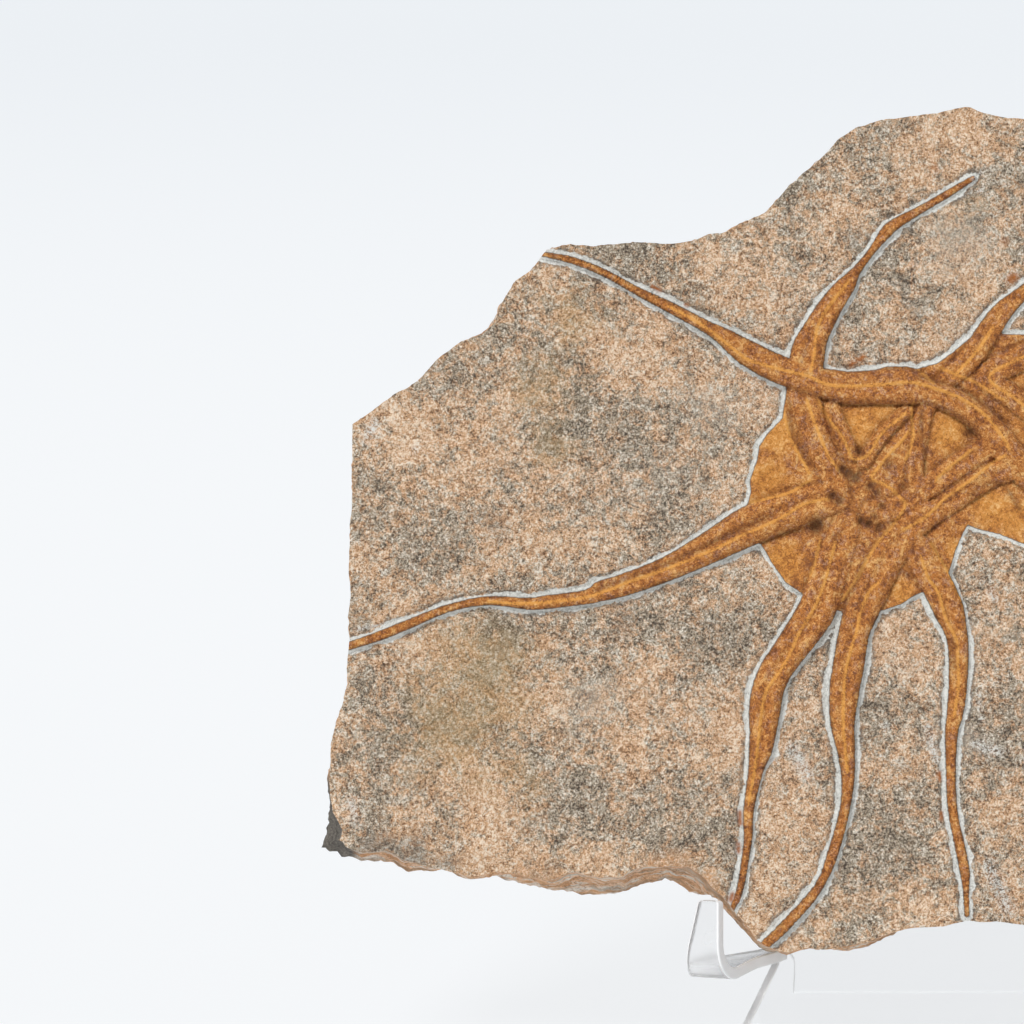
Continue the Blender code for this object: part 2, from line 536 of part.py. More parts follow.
def make_stand():
    stand = easel_sheet()
    for side in (-1, 1):
        piece = hook(side)
        piece.hide_render = True
        piece.display_type = "WIRE"
        join = stand.modifiers.new("hook", "BOOLEAN")
        join.operation = "UNION"
        join.solver = "EXACT"
        join.object = piece
    stand.data.materials.append(make_material("clear acrylic sheet", (0.94, 0.96, 0.96), 0.04, 1.0))


clear_scene()
make_slab()
make_stand()
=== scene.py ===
"""Looks of the brittle star fossil: a split slab of sandstone on a clear acrylic easel.

Metres, in the frame of the CAD. The slab is drawn in face millimetres, as its solid is: a runs right
and b runs up the face from its middle, and n stands out of the face.
"""

import math
from functools import partial

import bmesh
import bpy
import numpy as np
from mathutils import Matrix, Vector, noise
from mathutils.geometry import delaunay_2d_cdt


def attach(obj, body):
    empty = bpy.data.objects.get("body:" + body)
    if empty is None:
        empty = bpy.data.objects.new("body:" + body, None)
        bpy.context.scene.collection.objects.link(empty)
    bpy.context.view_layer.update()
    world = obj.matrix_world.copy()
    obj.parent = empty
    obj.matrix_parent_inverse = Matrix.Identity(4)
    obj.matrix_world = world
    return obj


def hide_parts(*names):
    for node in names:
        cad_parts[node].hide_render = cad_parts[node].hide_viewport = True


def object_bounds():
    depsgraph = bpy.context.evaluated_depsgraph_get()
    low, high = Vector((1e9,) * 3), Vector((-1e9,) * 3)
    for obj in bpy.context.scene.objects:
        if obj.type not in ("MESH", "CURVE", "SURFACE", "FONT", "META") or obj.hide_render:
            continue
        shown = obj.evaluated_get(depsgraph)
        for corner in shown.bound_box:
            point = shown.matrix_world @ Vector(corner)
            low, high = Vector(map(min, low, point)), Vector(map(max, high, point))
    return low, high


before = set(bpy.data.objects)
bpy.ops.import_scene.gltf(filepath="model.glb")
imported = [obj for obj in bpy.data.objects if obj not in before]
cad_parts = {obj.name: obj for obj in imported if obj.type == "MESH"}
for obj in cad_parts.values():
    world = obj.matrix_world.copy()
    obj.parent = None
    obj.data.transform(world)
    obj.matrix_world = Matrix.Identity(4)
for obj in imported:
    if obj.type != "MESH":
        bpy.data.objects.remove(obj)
cad_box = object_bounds()


# ------------------------ the face of the slab
# One side of a split bed of fine sandstone, grey-brown with iron-stained peach patches. The brittle
# stars lie in it as low ochre casts, arms laid over each other. A preparator scraped a pale furrow
# into the stone along their edges, so that they stand clear.
MM = 0.001
LEAN = math.radians(12)
FACE_HEIGHT = 141.0
FACE_SETBACK = -17.5

FURROW_WIDTH = 1.6
FURROW_DEPTH = 0.55
SKIN_RISE = 0.5
ARM_RISE = 0.48     # height of an arm's ridges, as a share of its half width
RIDGE_PLACE = 0.52  # where the two side ridges run, as a share of the half width
RIDGE_WIDTH = 0.3
FILLET = 0.9        # how softly an arm runs into what it lies on
LOW = -9.0          # below everything, where no arm lies
ARM_REACH = 10.0    # how far from its middle line an arm can matter
LINE_STEP = 1.5

# Spacing of the face's points: over the fossils, beside them, and on bare stone.
FINE_STEP = 0.5
NEAR_STEP = 0.95
STONE_STEP = 1.75
FINE_REACH = 2.4
NEAR_REACH = 4.2
RIM_STEP = 0.8
RIM_MARGIN = 0.9
NET_REACH = (149.0, 109.0)
MAP_CORNER = (-148.0, -107.0)
MAP_SIZE = (296.0, 215.0)

# Outline of the slab, clockwise from the upper left corner: a, b, and how far the face's own edge
# lies inside it, where the split side shows.
OUTLINE = [
    (-139.4, 27.2, 0.5), (-134, 31.2, 0.5), (-129, 34.8, 0.5), (-123, 38, 0.5), (-118.5, 43.2, 0.5),
    (-112, 48.2, 0.6), (-107, 50.2, 1), (-104.4, 53, 1.2), (-103, 56.2, 0.8), (-100.4, 60, 0.5),
    (-98.5, 63.3, 0.5), (-94.5, 66.6, 0.5), (-90.5, 71.1, 0.5), (-84.5, 72.7, 0.5), (-79, 72.1, 0.5),
    (-72, 72.7, 0.5), (-68, 73.3, 0.5), (-60.5, 72.9, 0.5), (-54, 73.2, 0.5), (-50, 75, 0.5),
    (-47, 75.4, 0.5), (-42, 77.9, 0.5), (-36, 80.3, 0.5), (-32.5, 84, 0.5), (-30, 87.2, 0.5),
    (-24, 92.5, 0.5), (-18, 98.4, 0.5), (-13, 101.7, 0.5), (-7, 103.8, 0.5), (0, 104.6, 0.5),
    (7, 105.2, 0.5), (11.5, 106.2, 0.5), (15, 106.8, 0.5), (19, 105.4, 0.5), (25, 104.3, 0.5),
    (35, 103.2, 0.5), (45, 102.4, 0.6), (52.5, 98.8, 0.8), (60, 98.2, 0.8), (68, 93.6, 0.6),
    (79, 92, 0.6), (87.5, 88, 0.8), (91, 83.2, 0.8), (102, 79.8, 0.6), (108.5, 73.4, 0.6), (112, 66, 0.8),
    (121.5, 59.6, 0.6), (126, 51, 0.6), (127.5, 42, 0.8), (134.5, 35.4, 0.6), (138, 26, 0.6),
    (138.4, 13, 0.8), (143.8, 5, 0.6), (147.5, -5, 0.6), (146.8, -18.5, 0.8), (143.4, -29, 0.8),
    (144.6, -40, 0.6), (139, -51.5, 1), (133.4, -57.5, 0.8), (131, -68, 1.4), (123.5, -76, 2),
    (112, -79.4, 2.4), (102, -86.2, 2), (90, -88, 2.6), (83, -88.9, 3.6), (77, -89.4, 4.4),
    (72, -92, 4.6), (68, -93.6, 3.6), (65.4, -97.4, 2), (61, -101.6, 1.2), (57.8, -104.8, 0.9),
    (54, -106.4, 0.8), (50, -105.6, 1), (45, -106, 1.4), (40, -103.2, 1), (35, -100.4, 0.8),
    (29, -98.7, 0.6), (22, -98.1, 0.5), (15, -98, 0.6), (9, -99.3, 0.7), (0, -100, 0.8),
    (-4, -101.9, 1.7), (-9, -104.8, 2.2), (-15, -106, 2), (-19.5, -105.3, 0.8), (-25, -105.4, 1),
    (-30, -106.4, 1), (-33.5, -105.2, 0.6), (-38.3, -103, 0.9), (-41, -100, 1.6), (-45.5, -96, 2.4),
    (-48.5, -93.4, 3.6), (-53, -92.2, 6.4), (-57, -89.8, 6.2), (-60.5, -88.1, 4.6), (-65, -89.3, 5),
    (-70, -91.4, 5.4), (-77, -92.2, 6.3), (-83, -91.9, 6), (-89, -91.4, 5), (-93, -89.8, 3.7),
    (-99, -88.6, 2.8), (-104, -87.4, 1.9), (-109.5, -87.8, 1.6), (-116, -85.9, 1.5), (-120.5, -86, 2.6),
    (-125, -86.1, 3.8), (-130, -84.5, 3.4), (-137, -83, 2.8), (-142, -82.1, 4), (-147.5, -80, 6.4),
    (-146.2, -74, 4.6), (-145.3, -70, 1.4), (-145.9, -62, 0.9), (-145, -55, 0.5), (-144, -49, 0.5),
    (-142.2, -43, 0.6), (-140.8, -38, 0.8), (-140.9, -34, 0.6), (-140.2, -27, 0.5), (-140.5, -19, 0.5),
    (-140.3, -8, 0.5), (-140, 5, 0.5), (-139.6, 16, 0.5),
]

# Outline of the stars' body skins, which lie under and between the arms.
DISC_SKIN = [
    (-40, 6.7), (-39.2, 10), (-39.4, 13), (-37.6, 18), (-37, 21.5), (-35, 24.5), (-31.4, 28.3),
    (-30.6, 33), (-30, 38), (-24, 42), (-20.8, 40.8), (-15, 40), (-9, 40.2), (-5, 41.3), (0, 41.2),
    (2, 40.6), (7.5, 42.1), (11.5, 45), (16.2, 49), (22.5, 49.4), (29, 49.2), (40, 49.6), (50, 47.4),
    (58, 42), (64, 33), (66, 22), (64, 11), (58, 2), (50, -4.5), (42, -7.6), (35, -5.4), (29, -2.9),
    (23, -0.5), (17, 1), (14.8, 2), (13.5, -0.5), (11.8, -4.5), (10.2, -9.6), (8, -13.5), (4, -14.8),
    (1.5, -15.8), (-1.5, -17.8), (-6, -19.5), (-11, -19.8), (-17, -19.7), (-22, -18), (-26, -15.6),
    (-30.5, -12.5), (-33.5, -8.3), (-36.5, -3.2),
]

# Arms, from tip to body: a, b and half the width.
ARM_LEFT = [
    (-142, -29.2, 0.8), (-133, -26.3, 1.05), (-125, -23.1, 1.05), (-115, -19.1, 0.85), (-105, -17.2, 1),
    (-95, -17.9, 1.35), (-90, -17.5, 1.6), (-80, -16.2, 1.7), (-77, -14.9, 2.4), (-70, -12.9, 2.7),
    (-60, -9.1, 2.95), (-50, -4.1, 3.8), (-40, 1.4, 4.8), (-33, 4.3, 4.9), (-26, 6.8, 4.6),
    (-18, 8.8, 3.8),
]
ARM_BAND = [
    (-91.5, 69.5, 0.5), (-84, 67.9, 0.75), (-76, 64.8, 0.8), (-68, 60.4, 0.9), (-60, 56.4, 1.25),
    (-50, 51.1, 1.45), (-46, 48.8, 2.1), (-40, 44.7, 3.1), (-32, 40.6, 3.4), (-22, 37.4, 3.6),
    (-15, 36, 4), (-8, 36.2, 4.2), (0, 36.3, 4.3), (6, 34.8, 3.2), (12, 32.2, 3.3), (18, 28.4, 3.5),
    (23, 22.8, 3.5), (28, 16, 3.5), (34, 11, 3.2),
]
ARM_UP = [
    (16.2, 88.4, 0.5), (9.5, 84.3, 0.8), (3.5, 80.8, 0.85), (-3, 77.1, 1.25), (-5.6, 74.8, 1.35),
    (-9.2, 70, 0.75), (-13.1, 65, 1.1), (-14.8, 62.5, 2), (-18.6, 57.5, 2.75), (-23, 50, 3.4),
    (-25, 44.5, 4.2), (-25.8, 35, 4), (-24, 27, 3.4), (-21.5, 20, 3.2), (-17.5, 12, 3),
]
ARM_UPPER_RIGHT = [
    (61, 88, 0.5), (57, 82, 0.8), (50, 75, 1.1), (42, 69, 1.3), (34, 64, 1.45), (29, 60, 1.6),
    (25.5, 57, 2.1), (23, 54.4, 2.5), (20, 50, 2.8), (16, 44, 2.8), (9.5, 37.5, 2.4), (4.5, 31, 2.2),
    (2.6, 22, 2.1), (1.6, 13, 2.1),
]
ARM_DOWN_LEFT = [
    (-44.2, -94.6, 0.5), (-42.2, -90, 0.75), (-40.4, -80, 0.85), (-39.9, -75, 1.05), (-39.9, -70, 1.2),
    (-38.1, -60, 1.75), (-36.9, -55, 2.75), (-36.2, -50, 3.2), (-35.8, -45, 3.8), (-35.1, -40, 3.9),
    (-33.2, -35, 3.9), (-29.8, -30, 4), (-23, -20, 4.6), (-20.4, -12, 4.4), (-17.6, -4, 4),
    (-15.5, 2, 3.4),
]
ARM_DOWN = [
    (-35.6, -103, 1.1), (-32, -99.8, 1.2), (-25, -92.2, 1.15), (-21.4, -87, 1), (-18.7, -80, 1.25),
    (-15.9, -70, 1.15), (-15, -62, 1.5), (-15.4, -55, 2.1), (-16.3, -48, 2.9), (-15.9, -40, 3.6),
    (-14.8, -33, 3.8), (-13.4, -25, 3.75), (-11.2, -18.5, 4.4), (-8.2, -12, 4.4), (-4.4, -5, 4.2),
    (0.5, 1, 3.6), (6, 5, 3),
]
ARM_DOWN_RIGHT = [
    (14.6, -95.6, 0.5), (14.4, -90, 0.6), (14.1, -85, 1.1), (13.2, -80, 1.15), (11.2, -70, 1.05),
    (10.7, -60, 1.1), (10.9, -50, 1.5), (11.8, -45, 1.95), (12.5, -38, 2.2), (12.7, -30, 2.4),
    (12, -25, 2.7), (10.4, -20, 3.6), (8.2, -15, 3.8), (5.4, -10, 3.8), (2, -4, 3.6),
]
BAND_OVER_CENTRE = [
    (22, 22, 2.6), (15, 18.4, 2.8), (9, 14.2, 2.8), (3, 9.8, 2.7), (-3, 6, 2.8), (-9, 5, 3),
]
BAND_UNDER_CENTRE = [
    (31, 16.6, 2.8), (22, 14.6, 2.8), (16, 11.2, 2.8), (10, 7.2, 2.8), (4, 3.2, 2.6),
]
FOLD_LEFT = [(-19, 31, 2), (-16.6, 25, 2), (-14.2, 19.5, 1.9)]
FOLD_RIGHT = [(-0.6, 30.2, 1.7), (-4.6, 26.4, 1.7), (-8.2, 22, 1.7), (-11, 17.6, 1.8)]
ARM_B_UP = [
    (114.5, 61.5, 0.5), (107, 58.5, 1.3), (96, 54, 2), (84, 50, 2.8), (72, 45, 3.6), (62, 38, 4.2),
    (52, 29, 4.2), (45, 23, 3.6),
]
ARM_B_RIGHT = [
    (142, -8, 0.5), (131, -6.5, 1.1), (118, -6, 1.7), (106, -3, 2.4), (94, 3, 3), (82, 9, 3.6),
    (70, 14, 4.2), (58, 17, 4.4), (47, 20, 3.6),
]
ARM_B_DOWN = [
    (62, -87, 0.5), (59, -78, 1.1), (55, -67, 1.6), (55, -54, 2.2), (58, -40, 2.8), (58, -26, 3.4),
    (54, -13, 4), (48, -1, 4.2), (44, 13, 3.6),
]
ARM_B_UNDER = [
    (34, 46, 3), (27, 43, 3.2), (20, 38.5, 3), (27, 33, 2.8), (36, 26, 3),
]

# Each arm, and how far its underside lies above the skin where it crosses other arms, in mm.
ARMS = [
    (ARM_UP, 0), (ARM_DOWN_RIGHT, 0), (ARM_DOWN_LEFT, 0.1), (ARM_LEFT, 0.2), (ARM_UPPER_RIGHT, 0),
    (ARM_DOWN, 0.4), (BAND_UNDER_CENTRE, 0.2), (BAND_OVER_CENTRE, 0.3), (FOLD_LEFT, 0.1),
    (FOLD_RIGHT, 0.2), (ARM_BAND, 0.6), (ARM_B_UNDER, 0), (ARM_B_UP, 0.2), (ARM_B_RIGHT, 0.1),
    (ARM_B_DOWN, 0),
]

# Thin crests: the row of joints down the middle of each arm, and the wrinkles of the body skin. They stand a
# little, and the finish paints them amber with a highlight along them.
CRESTS = [
    [(-60, 56.4), (-52, 52), (-45.8, 47.4), (-43.2, 45.2), (-40.1, 43), (-36.4, 41.8), (-31, 40.4),
     (-25.1, 38.9), (-22, 37.4), (-18.9, 36.6), (-14.5, 36.4), (-9.5, 36.6), (-3.2, 37.1), (0.5, 37.4),
     (5.5, 36.1), (9.2, 34.9), (13, 33.3), (15.5, 31.8), (18, 29.9), (20.5, 27.4), (22.4, 24.9),
     (24.2, 22.4), (24.9, 20.5)],
    [(2.4, 40.8), (6.1, 37.1)],
    [(8, 41.1), (11.8, 39.2), (15.5, 38), (19.2, 35.8), (21.8, 33.9), (23.6, 33)],
    [(-105, -17.4), (-95, -17.8), (-82, -16.6), (-75, -14.5), (-70, -12.5), (-65, -10.8), (-60, -9),
     (-55, -7), (-50, -4.9), (-47, -3.6), (-43.9, -2), (-40.8, -0.4), (-36.4, 1.4), (-31.4, 3.9),
     (-26.4, 6.8), (-22, 8), (-19.5, 8.3)],
    [(-39.5, 7.4), (-34.5, 8.6), (-29.5, 9.9), (-26.4, 11.8), (-24.5, 13)],
    [(-25.4, 33), (-23.9, 28.6), (-22, 23.6), (-20.1, 19.2), (-17.6, 15.5)],
    [(-31, 29.9), (-30.1, 25.5), (-28.2, 21.1), (-25.8, 16.8), (-24.8, 14.6)],
    [(-22.6, 33), (-20.8, 29.9), (-18.9, 26.8), (-16.4, 23.6), (-15.1, 20.5), (-13.9, 18.3), (-12, 18.3),
     (-10.1, 19.2), (-8.2, 22.4), (-6.4, 24.9), (-3.2, 27.7), (-0.8, 29.6)],
    [(-9.5, 13.6), (-7, 16.8), (-4.5, 19.9), (-2, 22.4), (-0.1, 24.9)],
    [(1.1, 32.4), (0.8, 29.2), (1.1, 24.2), (0.5, 21.1), (-0.8, 18)],
    [(6.8, 13), (9.2, 15.5), (12.4, 18), (15.5, 20.5)],
    [(-1.4, 0.5), (3, 3), (6.1, 5.5), (9.2, 8.6), (12.4, 10.8), (15.5, 13), (19.2, 16.1), (22.4, 18.3),
     (24.2, 19.2)],
    [(-16.4, -17), (-14.5, -13.9), (-12, -10.1), (-10.1, -6.4), (-8.2, -3.2), (-6.4, -0.8), (-3.9, 1.8),
     (-1.4, 5.5), (-0.8, 6.8)],
    [(-8.9, 13), (-6.4, 12), (-3.9, 10.5), (-1.1, 7.4)],
    [(-22, -2), (-23.2, -7), (-24.5, -10.8)],
    [(-18.2, -2.6), (-19.5, -7), (-20.8, -12), (-23.2, -18.2), (-25.8, -22.6), (-28.2, -27),
     (-29.6, -30.5), (-32, -34.5), (-34.8, -38.5), (-36.2, -42), (-37, -48), (-37.5, -52), (-38.2, -58),
     (-39.9, -68)],
    [(-7, -12), (-10.1, -15.1), (-12, -20.1), (-12.9, -24.5), (-14, -28), (-15.1, -32), (-16, -37),
     (-16.3, -45), (-16.2, -50), (-15.2, -60)],
    [(5.5, -2.6), (7.4, -5.8), (9.9, -10.1), (11.8, -13.9), (13.6, -18.2)],
    [(3, -5.8), (4.9, -11.4), (7.4, -15.1), (9.2, -21.4), (12, -27), (12.3, -33), (12.5, -38),
     (11.4, -46)],
    [(-24.5, 40), (-23.5, 45), (-23, 50), (-21.5, 54), (-19.4, 57), (-15, 62.5)],
    [(21, 51), (16.6, 44.6), (11, 38.6)],
] + [[row[:2] for row in rows] for rows in (ARM_B_UP, ARM_B_RIGHT, ARM_B_DOWN, ARM_B_UNDER)]
CREST_RISE = 0.38
CREST_WIDTH = 0.48

# Creases beside and between the arms: sunk a little, and painted dark as shade.
CREASES = [
    [(3, 31.8), (3.3, 26.8), (3.9, 21.1), (4.2, 15.5)],
    [(-30, 36), (-25, 34.4), (-20, 33), (-15, 32), (-10, 32), (-5, 31.7), (0, 31.7), (5, 32), (10, 30),
     (13, 28.5), (15, 26.5), (17, 24)],
    [(3, 38.8), (8, 37.3), (12, 36.5), (15, 34.6), (18, 32.4), (20, 30.9), (22, 29), (25, 27)],
    [(-36, -2.5), (-30, 0), (-25, 0.5), (-22, 2)],
    [(15.5, 9.2), (19.2, 11.8), (22.4, 12.4), (24.9, 10.5), (28, 5.5)],
    [(-1, -10.1), (1.1, -11.6)],
    [(-78, -14.4), (-70, -11.4), (-60, -7.7), (-50, -3.2), (-42, 0.5), (-34, 4.2)],
    [(-29.6, 30.2), (-28.8, 25.5), (-26.9, 21.1), (-24.4, 16.8)],
    [(11, -27), (11.5, -34)],
    [(-17.2, -20.6), (-15.4, -17.4), (-13.2, -13), (-11.4, -9)],
]
CREASE_DEPTH = 0.45
CREASE_WIDTH = 0.7

# Pits round the mouth and where bands cross: a, b, radius, depth. They are also painted dark as shade.
PITS = [
    (-16.4, 15.6, 1.2, 1.2), (-14.9, 14.6, 1.3, 1.5), (-13.2, 13.5, 1.3, 1.4), (-12, 14.7, 1, 0.9),
    (-18.9, 8.9, 1.2, 1.2), (-17.3, 7.8, 1.2, 1.2), (-9.2, 11.4, 1.3, 1), (-7.8, 9.8, 1.2, 0.9),
    (-6.6, 6.6, 1, 1), (-11.8, 2.7, 1, 1.2), (-9.9, 2, 1.1, 1.3), (-7.3, 1, 1.2, 1.2),
    (-8.3, 3.7, 1, 0.8), (-22.8, 1.4, 1.9, 1.5), (-12.3, 20.2, 1.4, 1), (-1.3, 11.3, 1.3, 0.8),
    (-4.6, 16.6, 1.5, 0.7), (-18.4, -1.4, 1.3, 0.5), (15.5, 25, 1.8, 0.9), (44, 20, 2.4, 0.9),
]
# Knobs of the mouth frame between the pits: a, b, radius, rise.
KNOBS = [
    (-16.2, 11.4, 2.2, 0.8), (-11.4, 6.2, 2.6, 0.8), (-5.2, 5, 1.6, 0.6), (-21, 12, 2.4, 0.5),
    (-14, 3.6, 2, 0.5), (-17.6, 4.4, 1.8, 0.5), (-6.4, 13.8, 1.4, 0.4), (-13, -3, 2.6, 0.5),
]

# Where the bare skin is amber and smooth, between the arms: a, b, radius.
AMBER_FLATS = [
    (-33, 24, 6), (-35.5, 13, 6.5), (-31, -7.5, 6.5), (-13, 26, 6.5), (-6.5, 30, 4), (10, 25, 6.5),
    (11, 31, 4), (21, 6, 6.5), (27, 3, 6), (-1.5, -15, 4), (12.5, -4.5, 3.5), (50, 30, 26),
]
# Where the skin swells between the arms, so that they run into one body: a, b, radius, rise.
SWELLS = [
    (-16, 8, 6, 1.1), (-7, 2, 7, 1.2), (-14, -6, 7, 1.3), (-12, -14, 5, 0.9), (-1, -5, 5, 1.1),
    (4, 9, 6, 0.7), (-22, -8, 4, 0.6), (-24, 12, 4, 0.6), (13.5, 13.2, 4, 1.3), (9, 10.5, 3.5, 1),
    (18, 15.8, 3.5, 1.2), (9, -8, 3.5, 0.5),
]

# Small marks: white rub marks and pale dust, and specks and dashes of rust: lines of a, b, half width.
MARKS = {
    "scuff": [
        [(-6, -45, 0.35), (-4.8, -49.5, 0.3)], [(17.5, -40, 0.4), (18.5, -50, 0.3)],
        [(18, -12, 0.4), (24, -19, 0.4)], [(-29, -54, 1.3), (-25, -61, 1.2)],
        [(5, -49, 0.8), (7, -57, 1.2)], [(17, -53, 1.2), (23, -55, 1.2)],
        [(20, -83, 1.4), (25, -94, 1.6)], [(-135.4, 23, 0.9), (-133.6, 27, 1.1)],
        [(-123.4, 20.5, 0.6), (-122.6, 20.6, 0.6)], [(-139, -67, 0.9), (-138, -73, 0.8)],
        [(16, 88, 0.35), (20.5, 92, 0.3)], [(11, 83.5, 0.35), (19, 85.5, 0.3)],
        [(-138, -24.5, 0.35), (-130, -22.8, 0.3)],
    ],
    "rust": [
        [(6.5, 90.5, 0.7), (6.9, 90.7, 0.7)], [(1.8, 66.7, 0.6), (2, 67, 0.6)],
        [(25.6, 63.2, 1), (26.6, 63.9, 1)], [(24, 73, 0.6), (24.3, 73.2, 0.6)],
        [(-14.3, 41.7, 0.4), (-11, 44, 0.5)], [(-64, 61.5, 0.4), (-62, 60.3, 0.4)],
        [(-55.6, 56.9, 0.4), (-55.2, 56.7, 0.4)], [(7.8, -60, 0.4), (8, -62, 0.3)],
        [(8.3, -70, 0.4), (8.4, -71.8, 0.4)], [(-42, -70, 0.5), (-41.9, -73, 0.4)],
        [(-42.4, -78, 0.5), (-42.3, -80, 0.4)], [(-43.8, -90.6, 0.6), (-44.4, -92.4, 0.7)],
    ],
}
# Wide soft stains: a, b, radius, and how grey, orange, golden or pale the stone is there.
STAINS = {
    "soot": [
        (-103.5, 1.5, 5.5, 0.7), (8, 50, 5, 0.6), (2.5, 56, 3, 0.7), (-1.5, 62, 3, 0.7),
        (-13.5, 73.5, 4, 0.6), (-29, 54, 4, 0.5), (-54, 57, 5, 0.5), (-72, -23, 6, 0.6),
        (-47, -24, 7, 0.5), (-91, -71, 5, 0.4), (12, 1, 5, 0.3), (-133.5, -79, 5, 1.3),
        (-123.5, -80.5, 5.5, 1.2), (-114, -83, 3.5, 0.9),
    ],
    "peach": [
        (-137, -83, 3, 1), (-129, -73, 6, 0.6), (-97, -85.5, 3.5, 1), (-89, -87, 4, 1),
        (-66, -84.5, 4, 0.9), (-58, -83.5, 5, 1), (-50.5, -88, 3.5, 1),
    ],
    "olive": [
        (-105, -34, 15, 1), (-115, -51, 14, 0.8), (-96, -62, 9, 0.5), (-91, 36, 12, 0.7),
        (-83.5, 55, 8, 0.8), (-89, 21, 6, 0.6), (14, 82, 8, 0.5),
    ],
    "pale": [
        (-48, 31, 9, 0.8), (-78, -43, 9, 0.8), (14, 73, 10, 1), (11, -52, 7, 1), (0, -34, 5, 0.7),
        (-27, -59, 5, 0.8), (-64, 12, 10, 0.5),
    ],
}


def placed(points, heights):
    """Points of the face, and their heights over its plane, as places in the world in metres."""
    a, b = points[:, 0], points[:, 1]
    y = FACE_SETBACK + b * math.sin(LEAN) - heights * math.cos(LEAN)
    z = FACE_HEIGHT + b * math.cos(LEAN) + heights * math.sin(LEAN)
    return np.column_stack([a, y, z]) * MM


def at(a, b, n):
    """One point of the slab's frame, in metres in the world."""
    return Vector(placed(np.array([[a, b]]), np.array([n]))[0])


def smooth_line(rows, step):
    """Rows of numbers as a smooth curve through them, with a point about every step mm."""
    rows = np.array(rows)
    ends = np.vstack([2 * rows[0] - rows[1], rows, 2 * rows[-1] - rows[-2]])
    line = []
    for i in range(1, len(ends) - 2):
        before, start, end, after = ends[i - 1 : i + 3]
        count = max(1, round(float(np.hypot(*(end - start)[:2])) / step))
        for t in np.arange(count) / count:
            bend = 2 * before - 5 * start + 4 * end - after
            twist = -before + 3 * start - 3 * end + after
            line.append(start + 0.5 * t * (end - before) + 0.5 * t * t * bend + 0.5 * t**3 * twist)
    line.append(rows[-1])
    return np.array(line)


def stretch_distance(points, start, end):
    """How far along a straight stretch each point lies, from 0 to 1, and its distance from it."""
    run = end - start
    offset = points - start
    t = np.clip(offset @ run / (run @ run), 0, 1)
    return t, np.hypot(*(offset - t[:, None] * run).T)


def near_line(points, line, reach):
    """The numbers of the points near a line, and for each its distance and the line's width there."""
    nearest = np.full(len(points), np.inf)
    width = np.zeros(len(points))
    for first in range(0, len(line) - 1, 6):
        piece = line[first : first + 7]
        low, high = piece[:, :2].min(axis=0) - reach, piece[:, :2].max(axis=0) + reach
        index = np.flatnonzero(((points > low) & (points < high)).all(axis=1))
        for start, end in zip(piece, piece[1:]):
            t, distance = stretch_distance(points[index], start[:2], end[:2])
            closer = distance < nearest[index]
            nearest[index[closer]] = distance[closer]
            width[index[closer]] = start[-1] + (end[-1] - start[-1]) * t[closer]
    index = np.flatnonzero(nearest < reach)
    return index, nearest[index], width[index]


def outside_polygon(points, polygon):
    """Signed distance to a closed polygon, negative inside it."""
    start = np.array(polygon)[:, :2]
    end = np.roll(start, -1, axis=0)
    nearest = np.full(len(points), np.inf)
    inside = np.zeros(len(points), bool)
    for first, last in zip(start, end):
        nearest = np.minimum(nearest, stretch_distance(points, first, last)[1])
        above = (first[1] > points[:, 1]) != (last[1] > points[:, 1])
        right, up = last - first
        crossing = first[0] + (points[:, 1] - first[1]) / (up or 1e-9) * right
        inside ^= above & (points[:, 0] < crossing)
    return np.where(inside, -nearest, nearest)


def waves(points, size, height, seed):
    """Smooth uneven ground of a given wavelength and height, in mm."""
    return np.array([height * noise.noise((a / size, b / size, seed)) for a, b in points])


def lumps(points, *kinds):
    """Ground that only rises, in lumps of one or more kinds, each with a wavelength, height and seed."""
    return sum(np.abs(waves(points, *kind)) for kind in kinds)


ARM_LINES = [(smooth_line(rows, 2), lift) for rows, lift in ARMS]
CREST_LINES = [smooth_line(rows, LINE_STEP) for rows in CRESTS]
CREASE_LINES = [smooth_line(rows, LINE_STEP) for rows in CREASES]


def star_edge(points):
    """Signed distance from the edge of the stars, negative on them."""
    edge = outside_polygon(points, DISC_SKIN)
    for line, _ in ARM_LINES:
        index, distance, half = near_line(points, line, ARM_REACH)
        edge[index] = np.minimum(edge[index], distance - half)
    return edge


def away(points, a, b):
    """How far each point lies from a place on the face."""
    return np.hypot(points[:, 0] - a, points[:, 1] - b)


def spot(points, a, b, radius):
    """1 at the middle of a round spot, falling to 0 over about its radius."""
    return np.exp(-((away(points, a, b) / radius) ** 2))


def nearness(points, lines, width):
    """How near each point lies to any of the lines: 1 on them, falling to 0 over about a width."""
    found = np.zeros(len(points))
    for line in lines:
        index, distance, _ = near_line(points, line, 3 * width)
        found[index] = np.maximum(found[index], np.exp(-((distance / width) ** 2)))
    return found


def melted(one, other):
    """The higher of two grounds, with a soft fillet in the valley where they meet."""
    close = np.clip(1 - np.abs(one - other) / FILLET, 0, 1)
    return np.maximum(one, other) + close**2 * FILLET / 4


